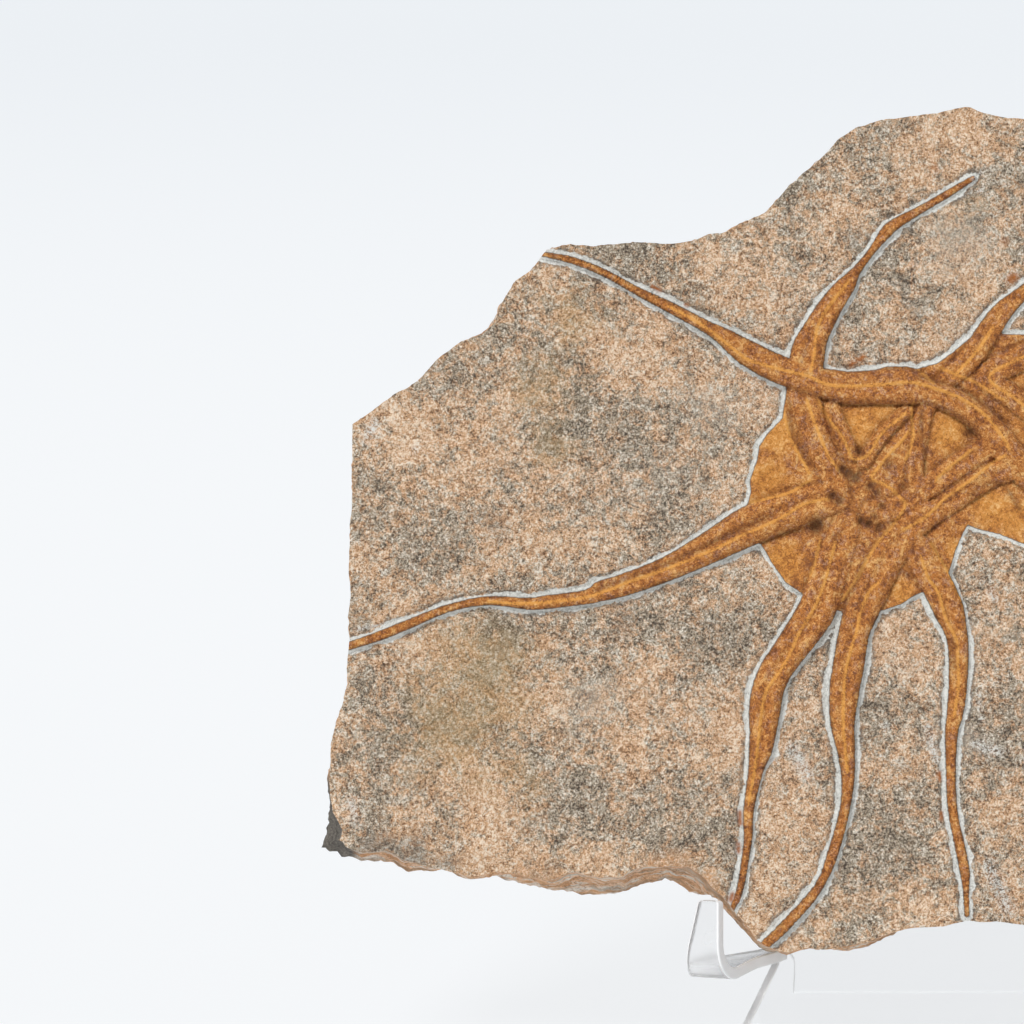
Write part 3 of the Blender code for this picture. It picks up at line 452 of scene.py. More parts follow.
def face_relief(points, edge):
    """Height of the face over its plane, and where the skin lies bare, creases run and crests stand."""
    stone = waves(points, 60, 2.2, 3.1) + waves(points, 17, 0.9, 8.4)
    skin = SKIN_RISE + waves(points, 9, 0.5, 1.7) + waves(points, 3.4, 0.35, 7.3)
    flat = np.zeros(len(points))
    for a, b, radius in AMBER_FLATS:
        flat = np.maximum(flat, np.clip(1.6 - 1.4 * away(points, a, b) / radius, 0, 1))
    for a, b, radius, rise in SWELLS:
        skin += rise * spot(points, a, b, radius) * (1 - 0.7 * flat)
    fossil = np.full(len(points), LOW)
    # How much painted shade darkens each point: the skin beside the arms, the pits and the creases.
    crease = np.zeros(len(points))
    for line, lift in ARM_LINES:
        index, distance, half = near_line(points, line, ARM_REACH)
        share = distance / half
        dome = np.sqrt(np.clip(1 - share**3, 0, 1))
        lobes = np.exp(-(((share - RIDGE_PLACE) / RIDGE_WIDTH) ** 2))
        rise = ARM_RISE * half * (0.5 * dome + 0.4 * lobes) + lift + SKIN_RISE
        on_arm = share < 1
        fossil[index[on_arm]] = melted(rise[on_arm], fossil[index[on_arm]])
        beside = np.exp(-(((distance - half) / 0.9) ** 2)) * (share >= 1)
        skin[index] -= 0.45 * beside
        crease[index] = np.maximum(crease[index], beside)
    on_star = edge < 0.001
    bare = on_star & (fossil < skin)
    crease = np.where(bare, 0.5 * crease, 0)
    fossil = np.where(on_star, melted(fossil, skin), fossil)
    for a, b, radius, rise in KNOBS:
        fossil += rise * spot(points, a, b, radius)
    pitted = np.zeros(len(points))
    for a, b, radius, depth in PITS:
        pitted = np.maximum(pitted, depth * spot(points, a, b, radius))
    fossil -= pitted
    crease = np.maximum(crease, np.clip(1.1 * pitted, 0, 1))
    crest = nearness(points, CREST_LINES, CREST_WIDTH)
    furrows = nearness(points, CREASE_LINES, CREASE_WIDTH)
    crease = np.maximum(crease, 0.6 * furrows)
    fossil += CREST_RISE * crest - CREASE_DEPTH * furrows + waves(points, 2.3, 0.22, 4.1)
    wobble = waves(points, 8, 0.7, 6.6)
    across = np.clip(edge / (FURROW_WIDTH + wobble), 0, 1)
    furrow = -FURROW_DEPTH * np.sin(math.pi * across) ** 0.7
    flakes = waves(points, 6, 0.5, 9.3) + waves(points, 3.1, 0.3, 2.2)
    settled = np.clip(edge / 3, 0, 1)
    height = np.where(on_star, fossil + 0.6 * stone, stone + furrow + settled * flakes)
    return height, {"amber_flat": np.where(bare, flat, 0), "crease": crease, "crest": crest}


def even_loop(rows, step):
    """A closed outline with a point at each row and between rows, about every step mm."""
    loop = []
    for row, following in zip(np.array(rows), np.roll(rows, -1, axis=0)):
        count = max(1, round(float(np.hypot(*(following - row)[:2])) / step))
        loop += [row + (following - row) * i / count for i in range(count)]
    return np.array(loop)


def inward(loop, reach):
    """Unit vectors into a clockwise outline, square to the chord between neighbours on both sides."""
    chord = np.roll(loop[:, :2], -reach, axis=0) - np.roll(loop[:, :2], reach, axis=0)
    chord /= np.linalg.norm(chord, axis=1)[:, None]
    return np.column_stack([chord[:, 1], -chord[:, 0]])


def net(step, seed):
    """A net of points over the whole slab, each shifted a little at random."""
    right, up = NET_REACH
    b, a = np.mgrid[-up : up : step * 0.866, -right : right : step]
    a[1::2] += step / 2
    shift = np.random.default_rng(seed).uniform(-0.2, 0.2, (2, a.size)) * step
    return np.column_stack([a.ravel(), b.ravel()]) + shift.T


def triangulate(loop, inner):
    """Triangles that fill a loop through the inner points, as rows of three point numbers."""
    points = [Vector(row) for row in np.vstack([loop, inner])]
    count = len(loop)
    rim = [(i, (i + 1) % count) for i in range(count)]
    _, _, faces, origin, _, _ = delaunay_2d_cdt(points, rim, [], 1, 1e-6)
    return [[origin[i][0] for i in face] for face in faces]


def drawn_onto(points, edge, level):
    """Moves the points close to a level of the edge distance onto it, so that the edge runs clean."""
    close = np.flatnonzero(np.abs(edge - level) < 0.55 * FINE_STEP)
    step = 0.02
    east = star_edge(points[close] + (step, 0)) - edge[close]
    north = star_edge(points[close] + (0, step)) - edge[close]
    slope = np.column_stack([east, north]) / step
    slope /= np.maximum(np.linalg.norm(slope, axis=1), 1e-6)[:, None]
    points[close] -= slope * (edge[close] - level)[:, None]
    edge[close] = level


def uv_map(mesh, places):
    """The piece's own map for its finish: one place for each face corner."""
    layer = mesh.uv_layers.new(name="OFBake")
    layer.data.foreach_set("uv", np.asarray(places, float).ravel())


def corner_points(mesh):
    """The vertex number of each face corner."""
    numbers = np.empty(len(mesh.loops), int)
    mesh.loops.foreach_get("vertex_index", numbers)
    return numbers


def in_scene(name, data):
    """A new object in the scene."""
    made = bpy.data.objects.new(name, data)
    bpy.context.scene.collection.objects.link(made)
    return made


def new_piece(name, places, faces, material):
    """A shown piece made of a mesh, which rides on the one body. It stays inside the box of its solid."""
    places = np.clip(places, *np.array(cad_box))
    mesh = bpy.data.meshes.new(name)
    mesh.from_pydata(places.tolist(), [], faces)
    mesh.materials.append(material)
    mesh.shade_smooth()
    piece = in_scene(name, mesh)
    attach(piece, "root")
    return piece


def painted(piece, amounts):
    """Gives each vertex of a piece its amount of each kind of colouring, for the finish to read."""
    for name, values in amounts.items():
        piece.data.attributes.new(name, "FLOAT", "POINT").data.foreach_set("value", values)


def paint(code):
    """An sRGB hex colour as the linear colour that shaders take."""
    parts = [int(code[i : i + 2], 16) / 255 for i in (1, 3, 5)]
    return (*[c / 12.92 if c <= 0.04045 else ((c + 0.055) / 1.055) ** 2.4 for c in parts], 1)


# Short names for the kinds of node that the finishes use most, and what each is set to.
NODE_KINDS = {
    "blend": ("Mix", {"data_type": "RGBA"}),
    "ramp": ("MapRange", {"interpolation_type": "SMOOTHSTEP"}),
    "times": ("Math", {"operation": "MULTIPLY"}),
    "times_plus": ("Math", {"operation": "MULTIPLY_ADD"}),
    "minus": ("Math", {"operation": "SUBTRACT"}),
    "noise": ("TexNoise", {}),
    "noise_4d": ("TexNoise", {"noise_dimensions": "4D"}),
}


def plug(node, sockets):
    """Fills a node's inputs, named or in order.

    Each takes a value, a hex colour, the name of one of the piece's amounts, or a node or output to link.
    """
    used = [socket for socket in node.inputs if socket.enabled]
    for key, value in (sockets.items() if isinstance(sockets, dict) else enumerate(sockets)):
        socket = used[key] if isinstance(key, int) else next(s for s in used if s.name == key)
        if isinstance(value, str) and value[0] == "#":
            value = paint(value)
        elif isinstance(value, str):
            value = add_node(node.id_data, "Attribute", {}, attribute_name=value).outputs["Fac"]
        elif isinstance(value, bpy.types.Node):
            value = next(output for output in value.outputs if output.enabled)
        if isinstance(value, bpy.types.NodeSocket):
            node.id_data.links.new(value, socket)
        else:
            socket.default_value = value


def add_node(tree, kind, sockets, **settings):
    """A shader node, by its short name or its own, with its settings, and its inputs filled."""
    kind, usual = NODE_KINDS.get(kind, (kind, {}))
    made = tree.nodes.new("ShaderNode" + kind)
    for name, value in (usual | settings).items():
        setattr(made, name, value)
    plug(made, sockets)
    return made


def tones(add, value, colours, *levels):
    """The first colour, with each of the others laid over it as a value rises between two levels."""
    colour = colours[0]
    for over, (low, high) in zip(colours[1:], levels, strict=True):
        colour = add("blend", [add("ramp", [value, low, high]), colour, over])
    return colour


def finish_of(name, lean=0):
    """A new material, the function that adds nodes to it, places on its piece in mm, and its shader.

    Turned by the slab's lean, the second number of a place runs square to the bedding.
    """
    material = bpy.data.materials.new(name)
    material.use_nodes = True
    add = partial(add_node, material.node_tree)
    place = add("TexCoord", {}).outputs["Object"]
    place = add("Mapping", {"Vector": place, "Rotation": (lean, 0, 0), "Scale": (1 / MM,) * 3})
    return material, add, place, material.node_tree.nodes["Principled BSDF"]


def sandstone(add, place):
    """Bare weathered sandstone: its colour, and the height of its grain."""
    drift = add("noise", {"Vector": place, "Scale": 1 / 24, "Detail": 3})
    clump = add("noise", {"Vector": place, "Scale": 1 / 3.5, "Detail": 4, "Roughness": 0.7,
                          "Distortion": 1.5})
    # Sand of 0.2 mm is finer than shows, so the grains are drawn 0.5 mm across.
    grain = add("noise", {"Vector": place, "Scale": 1 / 0.6, "Detail": 2, "Roughness": 1,
                          "Distortion": 0.4})
    stain = add("noise_4d", {"Vector": place, "Scale": 1 / 4, "Detail": 7, "Roughness": 0.78,
                             "Distortion": 1.2, "W": 3})
    tone = add("times_plus", [clump, 0.55, grain])
    tone = add("times_plus", [drift, 0.15, tone])
    fleck = add("noise_4d", {"Vector": place, "Scale": 1 / 0.9, "Detail": 2, "Roughness": 0.8,
                             "W": 7})
    warm = add("times_plus", [drift, 0.5, stain])
    warm = add("ramp", [add("times_plus", [fleck, 0.3, warm]), 0.8, 1])
    grey = tones(add, tone, ["#50443A", "#B2A28B", "#FAF2E6"], (0.7, 0.88), (0.86, 1.05))
    peach = tones(add, tone, ["#6B4A33", "#D8A97E", "#FFE9CF"], (0.65, 0.84), (0.83, 1.01))
    return add("blend", [warm, grey, peach]), tone


def slab_face_finish():
    """Mottled sandstone with ochre casts: split along its bedding, weathered, and scraped beside the casts.

    The stone is matt and speckled. The casts are denser, with browner flanks and amber crests, and a
    painted highlight along the crests; their creases and pits are painted darker as shade, and a thin
    painted shadow runs along their edge. The furrow shows the pale stone under the weathered skin,
    with a grey bruised fringe.
    """
    material, add, place, shader = finish_of("split weathered sandstone with ochre casts", LEAN)
    colour, tone = sandstone(add, place)
    ragged = add("noise", {"Vector": place, "Scale": 1 / 1.3, "Detail": 3, "Roughness": 0.6})
    cloudy = add("noise", {"Vector": place, "Scale": 1 / 7, "Detail": 5, "Roughness": 0.7})
    for name, share, tint in (
        ("olive", 0.36, "#B4955E"), ("pale", 0.36, "#CFC4B4"),
        ("peach", 0.4, "#E8A871"), ("soot", 0.42, "#625C55"),
    ):
        stained = add("ramp", [add("times_plus", [cloudy, 2, name]), 1.1, 2.2])
        colour = add("blend", [add("times", [stained, share]), colour, tint])

    # Wrinkles and specks of 0.3 mm, drawn 0.8 mm across, over stains a few mm wide.
    specks = add("noise", {"Vector": place, "Scale": 1 / 0.8, "Detail": 3, "Roughness": 0.8,
                           "Distortion": 1})
    stains = add("noise", {"Vector": place, "Scale": 1 / 4, "Detail": 5, "Roughness": 0.7,
                           "Distortion": 0.5})
    bloom = add("noise_4d", {"Vector": place, "Scale": 1 / 1.8, "Detail": 4, "Roughness": 0.75,
                             "Distortion": 0.8, "W": 5})
    mixed = add("times_plus", [stains, 0.8, specks])
    brown = tones(add, mixed, ["#814A26", "#C87E38", "#F2BE78"], (0.72, 0.92), (0.9, 1.1))
    lilac = add("times", [add("ramp", [bloom, 0.5, 0.62]), 0.55])
    rust = tones(add, specks, ["#86543C", "#D8AE96"], (0.4, 0.62))
    brown = add("blend", [lilac, brown, rust])
    amber = tones(add, mixed, ["#AC6A2E", "#E39A45", "#F9C581"], (0.7, 0.92), (0.9, 1.15))
    ochre = add("blend", [add("times", ["amber_flat", 0.9]), brown, amber])
    # Along the crests the casts turn amber, and over that goes a painted highlight, broken up by the specks.
    crest_amber_and_highlight = add("times_plus", [add("ramp", [mixed, 0.72, 1]), 0.3, 0.7])
    crest_amber_and_highlight = add("times", [crest_amber_and_highlight, "crest"])
    ochre = tones(add, crest_amber_and_highlight, [ochre, amber], (0.1, 0.7))
    crest_amber_and_highlight = add("times", [add("ramp", [crest_amber_and_highlight, 0.45, 0.95]), 0.85])
    ochre = add("blend", [crest_amber_and_highlight, ochre, "#F3AE55"])
    # Painted shade: the creases, the pits and the skin beside the arms are darkened towards deep brown.
    ochre = add("blend", [add("times", ["crease", 0.75]), ochre, "#56331C"])

    wander = add("noise", {"Vector": place, "Scale": 1 / 8, "Detail": 1})
    width = add("times_plus", [wander, 2.4, -0.1])
    beyond = add("minus", ["edge_mm", width])
    beyond = add("times_plus", [ragged, 1.8, beyond])
    pale = tones(add, tone, ["#BEBDB5", "#F6F5EF"], (0.6, 0.95))
    bruise = add("times", [add("ramp", [beyond, 2.3, 1.1]), 0.75])
    bruise = add("times", [add("ramp", [stains, 0.4, 0.62]), bruise])
    colour = add("blend", [bruise, colour, "#66635E"])
    colour = tones(add, beyond, [colour, pale], (1.15, 0.85))
    # A thin painted shadow, dark grey-brown, along the foot of the casts' edge, and inside it the ochre of
    # the casts.
    dark_line = add("times_plus", [ragged, 0.5, "edge_mm"])
    colour = tones(add, dark_line, [colour, "#7A6A58", ochre], (0.55, 0.3), (0.35, 0.15))
    colour = add("blend", ["rust", colour, "#B4682A"])
    dust = add("times", ["scuff", add("ramp", [tone, 0.74, 0.96])])
    colour = add("blend", [dust, colour, "#E9E9E5"])

    bump = add("Bump", {"Height": tone, "Distance": 0.7 * MM})
    plug(shader, {"Base Color": colour, "Normal": bump, "Roughness": 0.85, "IOR": 1.5})
    return material


slab_loop = even_loop(OUTLINE, RIM_STEP)
slab_edge, slab_bevel = slab_loop[:, :2], slab_loop[:, 2]
slab_turn = inward(slab_loop, 9)
chips = waves(slab_edge, 9, 0.8, 2).clip(0) + waves(slab_edge, 2.3, 0.3, 7.7).clip(0)
slab_edge = slab_edge + slab_turn * chips[:, None]
slab_rim = slab_edge + slab_turn * (slab_bevel * (1 + waves(slab_edge, 9, 0.4, 3.3)))[:, None]

inner = []
for step, nearest, furthest, seed in (
    (FINE_STEP, -math.inf, FINE_REACH, 1), (NEAR_STEP, FINE_REACH, NEAR_REACH, 2),
    (STONE_STEP, NEAR_REACH, math.inf, 3),
):
    points = net(step, seed)
    edge = star_edge(points)
    points = points[(edge >= nearest) & (edge < furthest)]
    inner.append(points[outside_polygon(points, slab_rim[::4]) < -RIM_MARGIN])
fine_edge = star_edge(inner[0])
for level in (0, FURROW_WIDTH):
    drawn_onto(inner[0], fine_edge, level)
inner = np.vstack(inner)
face_points = np.vstack([slab_rim, inner])
edge = star_edge(face_points)
heights, amounts = face_relief(face_points, edge)
rim_heights = heights[: len(slab_rim)]
amounts["edge_mm"] = edge
for name, marks in MARKS.items():
    lines = [smooth_line(mark, LINE_STEP) for mark in marks]
    amounts[name] = sum(nearness(face_points, [line], line[0][2]) for line in lines)
for name, stains in STAINS.items():
    amounts[name] = sum(strength * spot(face_points, a, b, radius) for a, b, radius, strength in stains)
face = new_piece(
    "fossil_face", placed(face_points, heights), triangulate(slab_rim, inner), slab_face_finish()
)
painted(face, amounts)
uv_map(face.data, (face_points[corner_points(face.data)] - MAP_CORNER) / MAP_SIZE)
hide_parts("fossil_slab")


# ------------------------ the slab's broken sides and back
# The rest of the same stone. The slab was broken out with a chisel, so its sides step down in thin
# ledges along the bedding, fresh and orange, and its back is a rough split, never dressed.
SLAB_THICKNESS = 22.0
EASEL_MIDDLE = 10.0  # the slab stands a little to the left on its easel
SEAT_A = 44.0        # where its underside rests on the hooks, out from the easel's middle
SEAT_B = -106.2
SEAT_WIDTH = 7.0
SIDE_ROWS = (8, 8, 10)  # between the face's rim, the split edge, the waist of the side and the back's heel
LEDGE = 1.6             # thickness of the layers that the sides break into
BACK_STEP = 2.4
BACK_MARGIN = 1.6
LOW_CORNER = (-145, -77, -4)  # a, b, n
LOW_CORNER_SIZE = (6.5, 8, 15)


def back_height(points):
    """Height of the slab's uneven back: nowhere lower than the plane that leans on the easel."""
    return lumps(points, (34, 3, 12.5), (11, 0.8, 4.4)) - SLAB_THICKNESS


def broken_stone_finish():
    """Freshly broken sandstone: chiselled sides with bedding lines, and a dusty back.

    More orange than the face and browner away from it, in thin layers with dark iron seams.
    """
    material, add, place, shader = finish_of("chiselled orange sandstone", LEAN)
    colour, tone = sandstone(add, place)
    layered = add("Mapping", {"Vector": place, "Scale": (0.14, 1, 0.14)})
    layers = add("noise", {"Vector": layered, "Scale": 1 / LEDGE, "Detail": 5, "Roughness": 0.7,
                           "Distortion": 0.7})
    seams = add("noise", {"Vector": layered, "Scale": 1 / 3, "Detail": 4, "Distortion": 0.5})
    fresh = tones(add, layers, ["#DFA473", "#FFCB9E", "#FFF3E4"], (0.42, 0.5), (0.5, 0.58))
    fresh = tones(add, tone, [fresh, "#BA8A64"], (0.82, 0.66))
    fresh = add("blend", [add("times", ["deep", 0.55]), fresh, "#BBA583"])
    colour = add("blend", [add("times", ["side", 0.85]), colour, fresh])
    dark_line = add("times", [add("ramp", [seams, 0.53, 0.58]), "side"])
    colour = add("blend", [add("times", [dark_line, 0.4]), colour, "#94806B"])
    dusk = add("ramp", [add("times_plus", [tone, 0.5, "dusk"]), 0.6, 1.2])
    weathered = tones(add, tone, ["#59534C", "#938B80"], (0.7, 1.05))
    colour = add("blend", [dusk, colour, weathered])
    rough = add("times_plus", [layers, 2, tone])
    bump = add("Bump", {"Height": rough, "Distance": 0.9 * MM})
    plug(shader, {"Base Color": colour, "Normal": bump, "Roughness": 0.9, "IOR": 1.5})
    return material


rough = waves(slab_edge, 7, 1.3, 6)
waist = slab_edge + slab_turn * (1.0 + 0.9 * rough)[:, None]
heel = slab_edge + slab_turn * (4.0 + rough)[:, None]
seat_reach = (np.abs(slab_edge[:, 0] - EASEL_MIDDLE) - SEAT_A) / SEAT_WIDTH
seat = np.exp(-(seat_reach**2)) * (slab_edge[:, 1] < -90)
for ring in (waist, heel):
    ring[:, 1] += seat * (SEAT_B - ring[:, 1])
edge_depth = -3.0 - 1.3 * slab_bevel + 0.8 * rough
rings = [
    (slab_rim, rim_heights), (slab_edge, edge_depth), (waist, 0.35 * edge_depth - 9.5),
    (heel, back_height(heel)),
]
side_points, side_heights = [slab_rim], [rim_heights]
for (upper, upper_height), (lower, lower_height), count in zip(rings, rings[1:], SIDE_ROWS):
    for i in range(1, count + 1):
        t = i / count
        side_points.append(upper + (lower - upper) * t)
        side_heights.append(upper_height + (lower_height - upper_height) * t)
rows, columns = len(side_points), len(slab_rim)
along = np.arange(columns) * RIM_STEP
for row in range(1, rows - 1):
    fade = min(1, row / 3, (rows - 1 - row) / 3)
    depth = side_heights[row]
    phase = (depth + waves(slab_edge, 23, 1.8, 5.1)) / LEDGE
    ledge = 0.5 * (1 - np.abs(phase % 1.0 * 2 - 1)) ** 2
    unrolled = np.column_stack([along, depth])
    broken = fade * (ledge + lumps(unrolled, (2.6, 1, 8.8), (6.5, 1.2, 1.8))) * (1 - 0.7 * seat)
    side_points[row] = side_points[row] + slab_turn * broken[:, None]
    side_heights[row] = depth + fade * waves(unrolled, 5, 1, 5.5)

back_inner = net(BACK_STEP, 4)
back_inner = back_inner[outside_polygon(back_inner, heel[::4]) < -BACK_MARGIN]
pitting = lumps(back_inner, (5, 0.9, 3.9), (14, 1.2, 9.9))
places = [placed(p, h) for p, h in zip(side_points, side_heights)]
places = np.vstack([*places, placed(back_inner, back_height(back_inner) + pitting)])
faces = []
for row in range(rows - 1):
    for i in range(columns):
        j = (i + 1) % columns
        faces.append((row * columns + i, row * columns + j, (row + 1) * columns + j, (row + 1) * columns + i))
back_start = len(faces)
faces += [tuple(back_start + i for i in reversed(face)) for face in triangulate(heel, back_inner)]
body = new_piece("slab_sides_and_back", places, faces, broken_stone_finish())
# The lower left corner is an old break, weathered dark some way up the side.
from_corner = (places - np.array(at(*LOW_CORNER))) / MM / LOW_CORNER_SIZE
dusk = np.clip(2.0 - 1.4 * np.linalg.norm(from_corner, axis=1), 0, 1)
vertex_row = np.minimum(np.arange(len(places)) // columns, rows)
painted(body, {
    "side": np.where(vertex_row < rows - 1, 1, 0.35),
    "deep": np.clip((vertex_row - SIDE_ROWS[0]) / SIDE_ROWS[1], 0, 1),
    "dusk": dusk,
})
# The map: the back as it lies, and above it the sides unrolled in strips.
STRIPS = 4
STRIP_FILL = 0.94
BACK_SHARE = 0.66
BACK_MAP_SIZE = (296, 340)
strip_columns = math.ceil(columns / STRIPS)
flat = np.vstack([np.zeros((back_start, 2)), heel, back_inner])
corner_uvs = (flat[corner_points(body.data)] - MAP_CORNER) / BACK_MAP_SIZE
for number in range(back_start):
    row, column = divmod(number, columns)
    strip, start = divmod(column, strip_columns)
    for corner, (right, down) in enumerate(((0, 0), (1, 0), (1, 1), (0, 1))):
        u = (start + right) / strip_columns
        v = BACK_SHARE + (strip + (row + down) / rows * STRIP_FILL) * (1 - BACK_SHARE) / STRIPS
        corner_uvs[number * 4 + corner] = (u, v)
uv_map(body.data, corner_uvs)
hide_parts("fossil_slab")


# ------------------------ the easel
# One 3 mm sheet of clear cast acrylic, sawn to shape and bent while hot: a front panel with side
# flaps, a top bend and a rear leg. Two tapering strips turn up at the front as hooks.
SHEET = 3.0
CLEARANCE = 0.3  # between the panel and the slab's back
PANEL_TOP = 34.0
BEND_RADIUS = 7.0
REAR_FOOT_SETBACK = 62.0
REAR_HALF_WIDTH = 34.0
FLAP_TURN = math.radians(28)
# Front panel, from its foot up: b, half width up to the folds, half width over the flaps, flap angle.
PANEL = [
    (None, 41.4, 56.5, FLAP_TURN), (-110.5, 37.7, 41.2, FLAP_TURN), (-107.5, 37.5, 40.8, 0),
    (PANEL_TOP, 31, REAR_HALF_WIDTH, 0),
]
HOOK_EDGE_A = 41.8
HOOK_SPLAY = math.radians(30)
HOOK_DIP = math.radians(7.5)
HOOK_ROOT_RUN = -1.0
HOOK_BEND_RUN = 21.8
HOOK_BEND_B = -102.2
HOOK_BEND_RADIUS = 10.0
LIP_TOP_B = -91.8
# Width of a hook and how far its inner edge is set in, against the distance from its tip.
HOOK_WIDTHS = [(0, 5.8, 0), (10, 8.3, 0), (26, 12.5, 0), (38, 9.5, 0), (47, 6, 3)]
EDGE_ROUNDING = 0.45
FOLD_ROUNDING = 2.4
TIP_ROUNDING = 0.9
BEND_STEPS = 24


def rounded(corners, radii):
    """A section with each of its corners turned into a short arc."""
    ring = []
    for number, (corner, radius) in enumerate(zip(corners, radii)):
        arms = [corners[number - 1] - corner, corners[(number + 1) % len(corners)] - corner]
        start, end = [corner + arm * min(0.45, radius * MM / arm.length) for arm in arms]
        for t in (0, 0.25, 0.5, 0.75, 1):
            ring.append(start * (1 - t) ** 2 + corner * 2 * t * (1 - t) + end * t * t)
    return ring


def loft(name, sections, broad_sides, broad_finish, finishes):
    """A closed solid through sections that have the same number of corners, capped at both ends.

    The sides listed as broad take the finish numbered so, and the cut edges and ends take number 1.
    """
    mesh = bmesh.new()
    rings = [[mesh.verts.new(corner) for corner in section] for section in sections]
    for end in (rings[0], rings[-1]):
        mesh.faces.new(end).material_index = 1
    for ring, following in zip(rings, rings[1:]):
        for i in range(len(ring)):
            j = (i + 1) % len(ring)
            side = mesh.faces.new([ring[i], ring[j], following[j], following[i]])
            side.material_index = broad_finish if i in broad_sides else 1
    bmesh.ops.recalc_face_normals(mesh, faces=mesh.faces)
    data = bpy.data.meshes.new(name)
    mesh.to_mesh(data)
    mesh.free()
    for finish in finishes:
        data.materials.append(finish)
    return in_scene(name, data)


def sheet_section(y, z, turn, fold, outer, flap, on_floor):
    """The sheet's outline at one height: y, z on its front, and the flaps turned forward at the folds."""
    flap_reach = (outer - fold) * math.tan(flap)
    front = [(outer, flap_reach), (fold, 0)]
    back = [
        (fold + SHEET * math.tan(flap / 2), -SHEET),
        (outer + SHEET * math.sin(flap), flap_reach - SHEET * math.cos(flap)),
    ]
    corners = [(-a, n) for a, n in front] + [(a, n) for a, n in reversed(front)]
    corners += [(a, n) for a, n in reversed(back)] + [(-a, n) for a, n in back]
    section = []
    for a, n in corners:
        corner = Vector((EASEL_MIDDLE + a, y - n * math.cos(turn), z + n * math.sin(turn)))
        if on_floor:
            corner.y -= corner.z * math.tan(turn)
            corner.z = 0.0
        section.append(corner * MM)
    return rounded(section, [EDGE_ROUNDING, FOLD_ROUNDING, FOLD_ROUNDING, EDGE_ROUNDING] * 2)


def easel_sheet(finishes):
    """The front panel, top bend and rear leg as one bent sheet that stands flat on its cut edges."""
    sections = []
    for b, fold, outer, flap in PANEL:
        place = at(0, b or -FACE_HEIGHT, -SLAB_THICKNESS - CLEARANCE) / MM
        sections.append(sheet_section(place.y, place.z, LEAN, fold, outer, flap, b is None))
    fold, outer = PANEL[-1][1:3]
    centre_y = place.y + BEND_RADIUS * math.cos(LEAN)
    centre_z = place.z - BEND_RADIUS * math.sin(LEAN)
    foot_y = REAR_FOOT_SETBACK + FACE_SETBACK
    rear_slope = math.atan2(foot_y - centre_y - BEND_RADIUS, centre_z)
    last_turn = math.pi - rear_slope
    for i in range(1, BEND_STEPS + 1):
        turn = LEAN + (last_turn - LEAN) * i / BEND_STEPS
        y = centre_y - BEND_RADIUS * math.cos(turn)
        z = centre_z + BEND_RADIUS * math.sin(turn)
        sections.append(sheet_section(y, z, turn, fold, outer, 0, False))
    sections.append(sheet_section(y, z, last_turn, fold, outer, 0, True))
    return loft("acrylic_easel", sections, [*range(4, 15), *range(24, 35)], 0, finishes)


def hook(side, finishes):
    """One hook: a tapering strip that leaves the panel's corner, passes under the slab and turns up."""
    path = []
    for i in range(BEND_STEPS + 1):
        turn = -HOOK_DIP + (math.pi / 2 + HOOK_DIP) * i / BEND_STEPS
        run = HOOK_BEND_RUN + HOOK_BEND_RADIUS * math.sin(turn)
        path.append((run, HOOK_BEND_B - HOOK_BEND_RADIUS * math.cos(turn), turn))
    bend_run, bend_b, _ = path[0]
    for run in np.linspace(bend_run, HOOK_ROOT_RUN, 9)[1:]:
        path.insert(0, (run, bend_b + (bend_run - run) * math.tan(HOOK_DIP), -HOOK_DIP))
    tip_run = path[-1][0]
    for share in (0, 0.2, 0.5, 0.8, 1):
        path.append((tip_run, LIP_TOP_B - TIP_ROUNDING * (1 - share), math.pi / 2))
    from_tip, widths, insets = zip(*HOOK_WIDTHS)
    sections = []
    for number, (run, b, turn) in enumerate(path):
        distance = sum(math.dist(p[:2], q[:2]) for p, q in zip(path[number:], path[number + 1:]))
        width, inset = [float(np.interp(distance, from_tip, known)) for known in (widths, insets)]
        pinch = TIP_ROUNDING - math.sqrt(TIP_ROUNDING**2 - max(0, TIP_ROUNDING - distance) ** 2)
        outer, inner, under = inset - pinch, inset - width + pinch, SHEET - pinch
        corners = []
        for depth, reach in ((pinch, outer), (pinch, inner), (under, inner), (under, outer)):
            ahead = run - depth * math.sin(turn)
            a = HOOK_EDGE_A + ahead * math.sin(HOOK_SPLAY) - reach * math.cos(HOOK_SPLAY)
            n = -SLAB_THICKNESS + ahead * math.cos(HOOK_SPLAY) + reach * math.sin(HOOK_SPLAY)
            corners.append(at(EASEL_MIDDLE + side * a, b + depth * math.cos(turn), n))
        sections.append(rounded(corners, [EDGE_ROUNDING] * 4))
    return loft("hook", sections, [4, 14], 2, finishes)


def acrylic_finish(name, least, most, marks, ripples, clearness):
    """Acrylic, hazed by least to most. Its marks and ripples each have a size in mm and a detail."""
    material, add, place, shader = finish_of(name)
    haze, ripple = [
        add("noise", {"Vector": place, "Scale": 1 / size, "Detail": detail})
        for size, detail in (marks, ripples)
    ]
    roughness = add("MapRange", {"Value": haze, "To Min": least, "To Max": most})
    bump = add("Bump", {"Height": ripple, "Distance": 0.05 * MM, "Strength": 0.5})
    plug(shader, {"Base Color": "#FFFFFF", "Roughness": roughness, "Normal": bump,
                  "Transmission Weight": clearness, "IOR": 1.49})
    return material


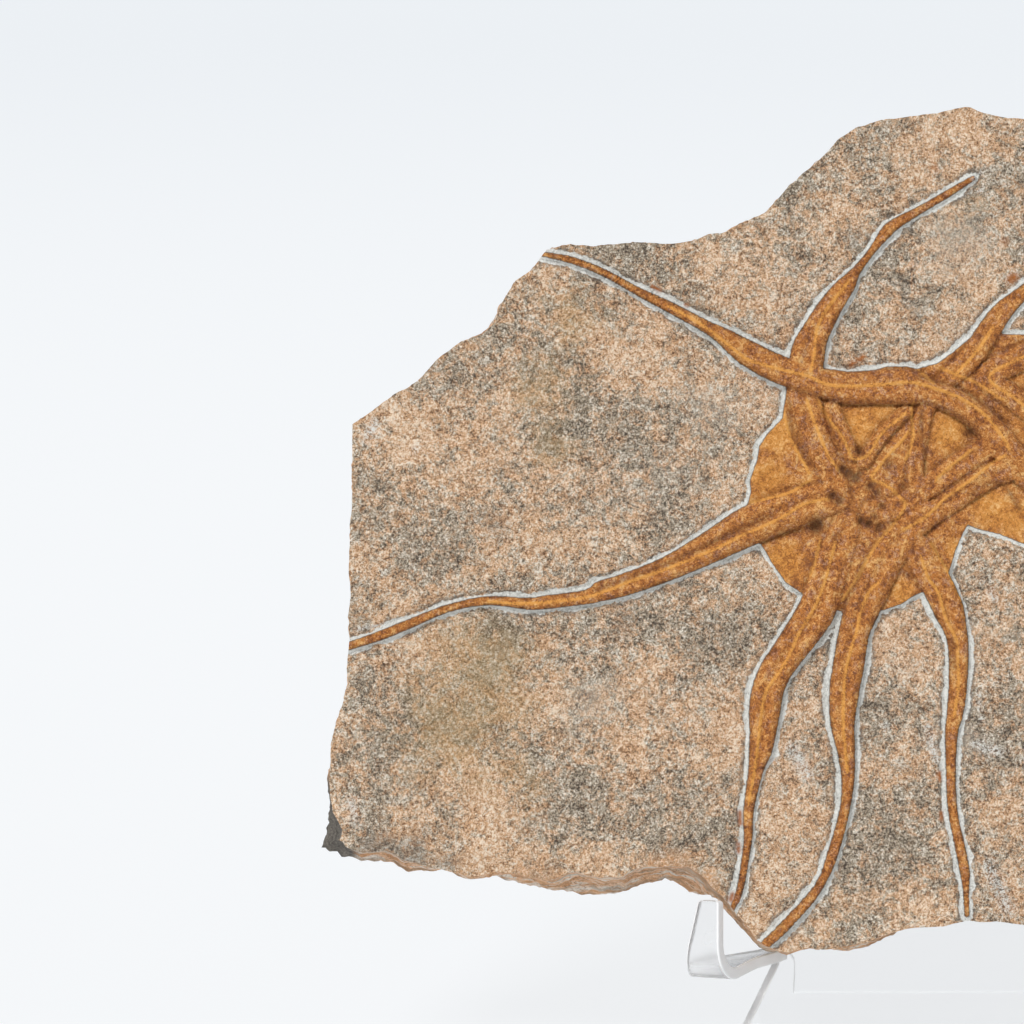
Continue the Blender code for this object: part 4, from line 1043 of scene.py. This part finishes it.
# The sheet comes clear and smooth from between plates of glass, with only wiping marks. Where a saw
# went through, it is frosted, so the edges glow milky white: teeth marks of 0.3 mm, drawn 0.8 mm
# apart. The hooks were heated longer to bend them so far, which dulled them.
acrylic = [
    acrylic_finish("cast clear acrylic sheet", 0.01, 0.07, (12, 3), (7, 1), 1),
    acrylic_finish("saw-cut acrylic edge", 0.35, 0.55, (0.8, 2), (0.8, 2), 0.15),
    acrylic_finish("heat-dulled acrylic", 0.18, 0.32, (12, 3), (7, 1), 1),
]
easel = easel_sheet(acrylic)
for side in (-1, 1):
    strip = hook(side, acrylic)
    join = easel.modifiers.new("hook", "BOOLEAN")
    join.operation = "UNION"
    join.solver = "EXACT"
    join.object = strip
    with bpy.context.temp_override(object=easel, active_object=easel, selected_objects=[easel]):
        bpy.ops.object.modifier_apply(modifier=join.name)
    bpy.data.objects.remove(strip)
easel.data.shade_smooth()
easel.data.set_sharp_from_angle(angle=math.radians(32))
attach(easel, "root")
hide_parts("display_stand")


# ------------------------ the table, the light and the camera
# A table of white acrylic lit from below, under a tent of soft light with one broad lamp high in front.
TABLE_HALF = 6.0
LAMP_AIM = (0.46, 0.72, -1)
CAMERA_PLACE = (-99, 5, 1000)  # a, b, n: it looks square onto the face from a metre away
table_mesh = bpy.data.meshes.new("table")
corners = [(-1, -1), (1, -1), (1, 1), (-1, 1)]
table_mesh.from_pydata([(x * TABLE_HALF, y * TABLE_HALF, 0) for x, y in corners], [], [(0, 1, 2, 3)])
table = in_scene("table", table_mesh)
material, add, place, shader = finish_of("backlit white acrylic")
back = add("SeparateXYZ", [place]).outputs["Y"]
glow = tones(add, back, ["#E9EBED", "#DCE0E4"], (100, 3000))
plug(shader, {"Base Color": "#616263", "Roughness": 0.5, "Emission Color": glow,
              "Emission Strength": 0.96})
table_mesh.materials.append(material)

world = bpy.data.worlds.new("light tent")
bpy.context.scene.world = world
world.use_nodes = True
plug(world.node_tree.nodes["Background"], {"Color": "#F2F5F8", "Strength": 0.4})

lamp_data = bpy.data.lights.new("broad lamp", "SUN")
lamp_data.energy = 2.2
lamp_data.angle = math.radians(22)
lamp = in_scene("broad lamp", lamp_data)
lamp.rotation_euler = Vector(LAMP_AIM).to_track_quat("-Z", "Y").to_euler()

camera_data = bpy.data.cameras.new("camera")
camera_data.lens = 140.6
camera_data.sensor_width = 36.0
camera_data.clip_end = 30.0
camera = in_scene("camera", camera_data)
camera.location = at(*CAMERA_PLACE)
camera.rotation_euler = (math.radians(90) - LEAN, 0, 0)
bpy.context.scene.camera = camera
bpy.context.scene.view_settings.view_transform = "Standard"
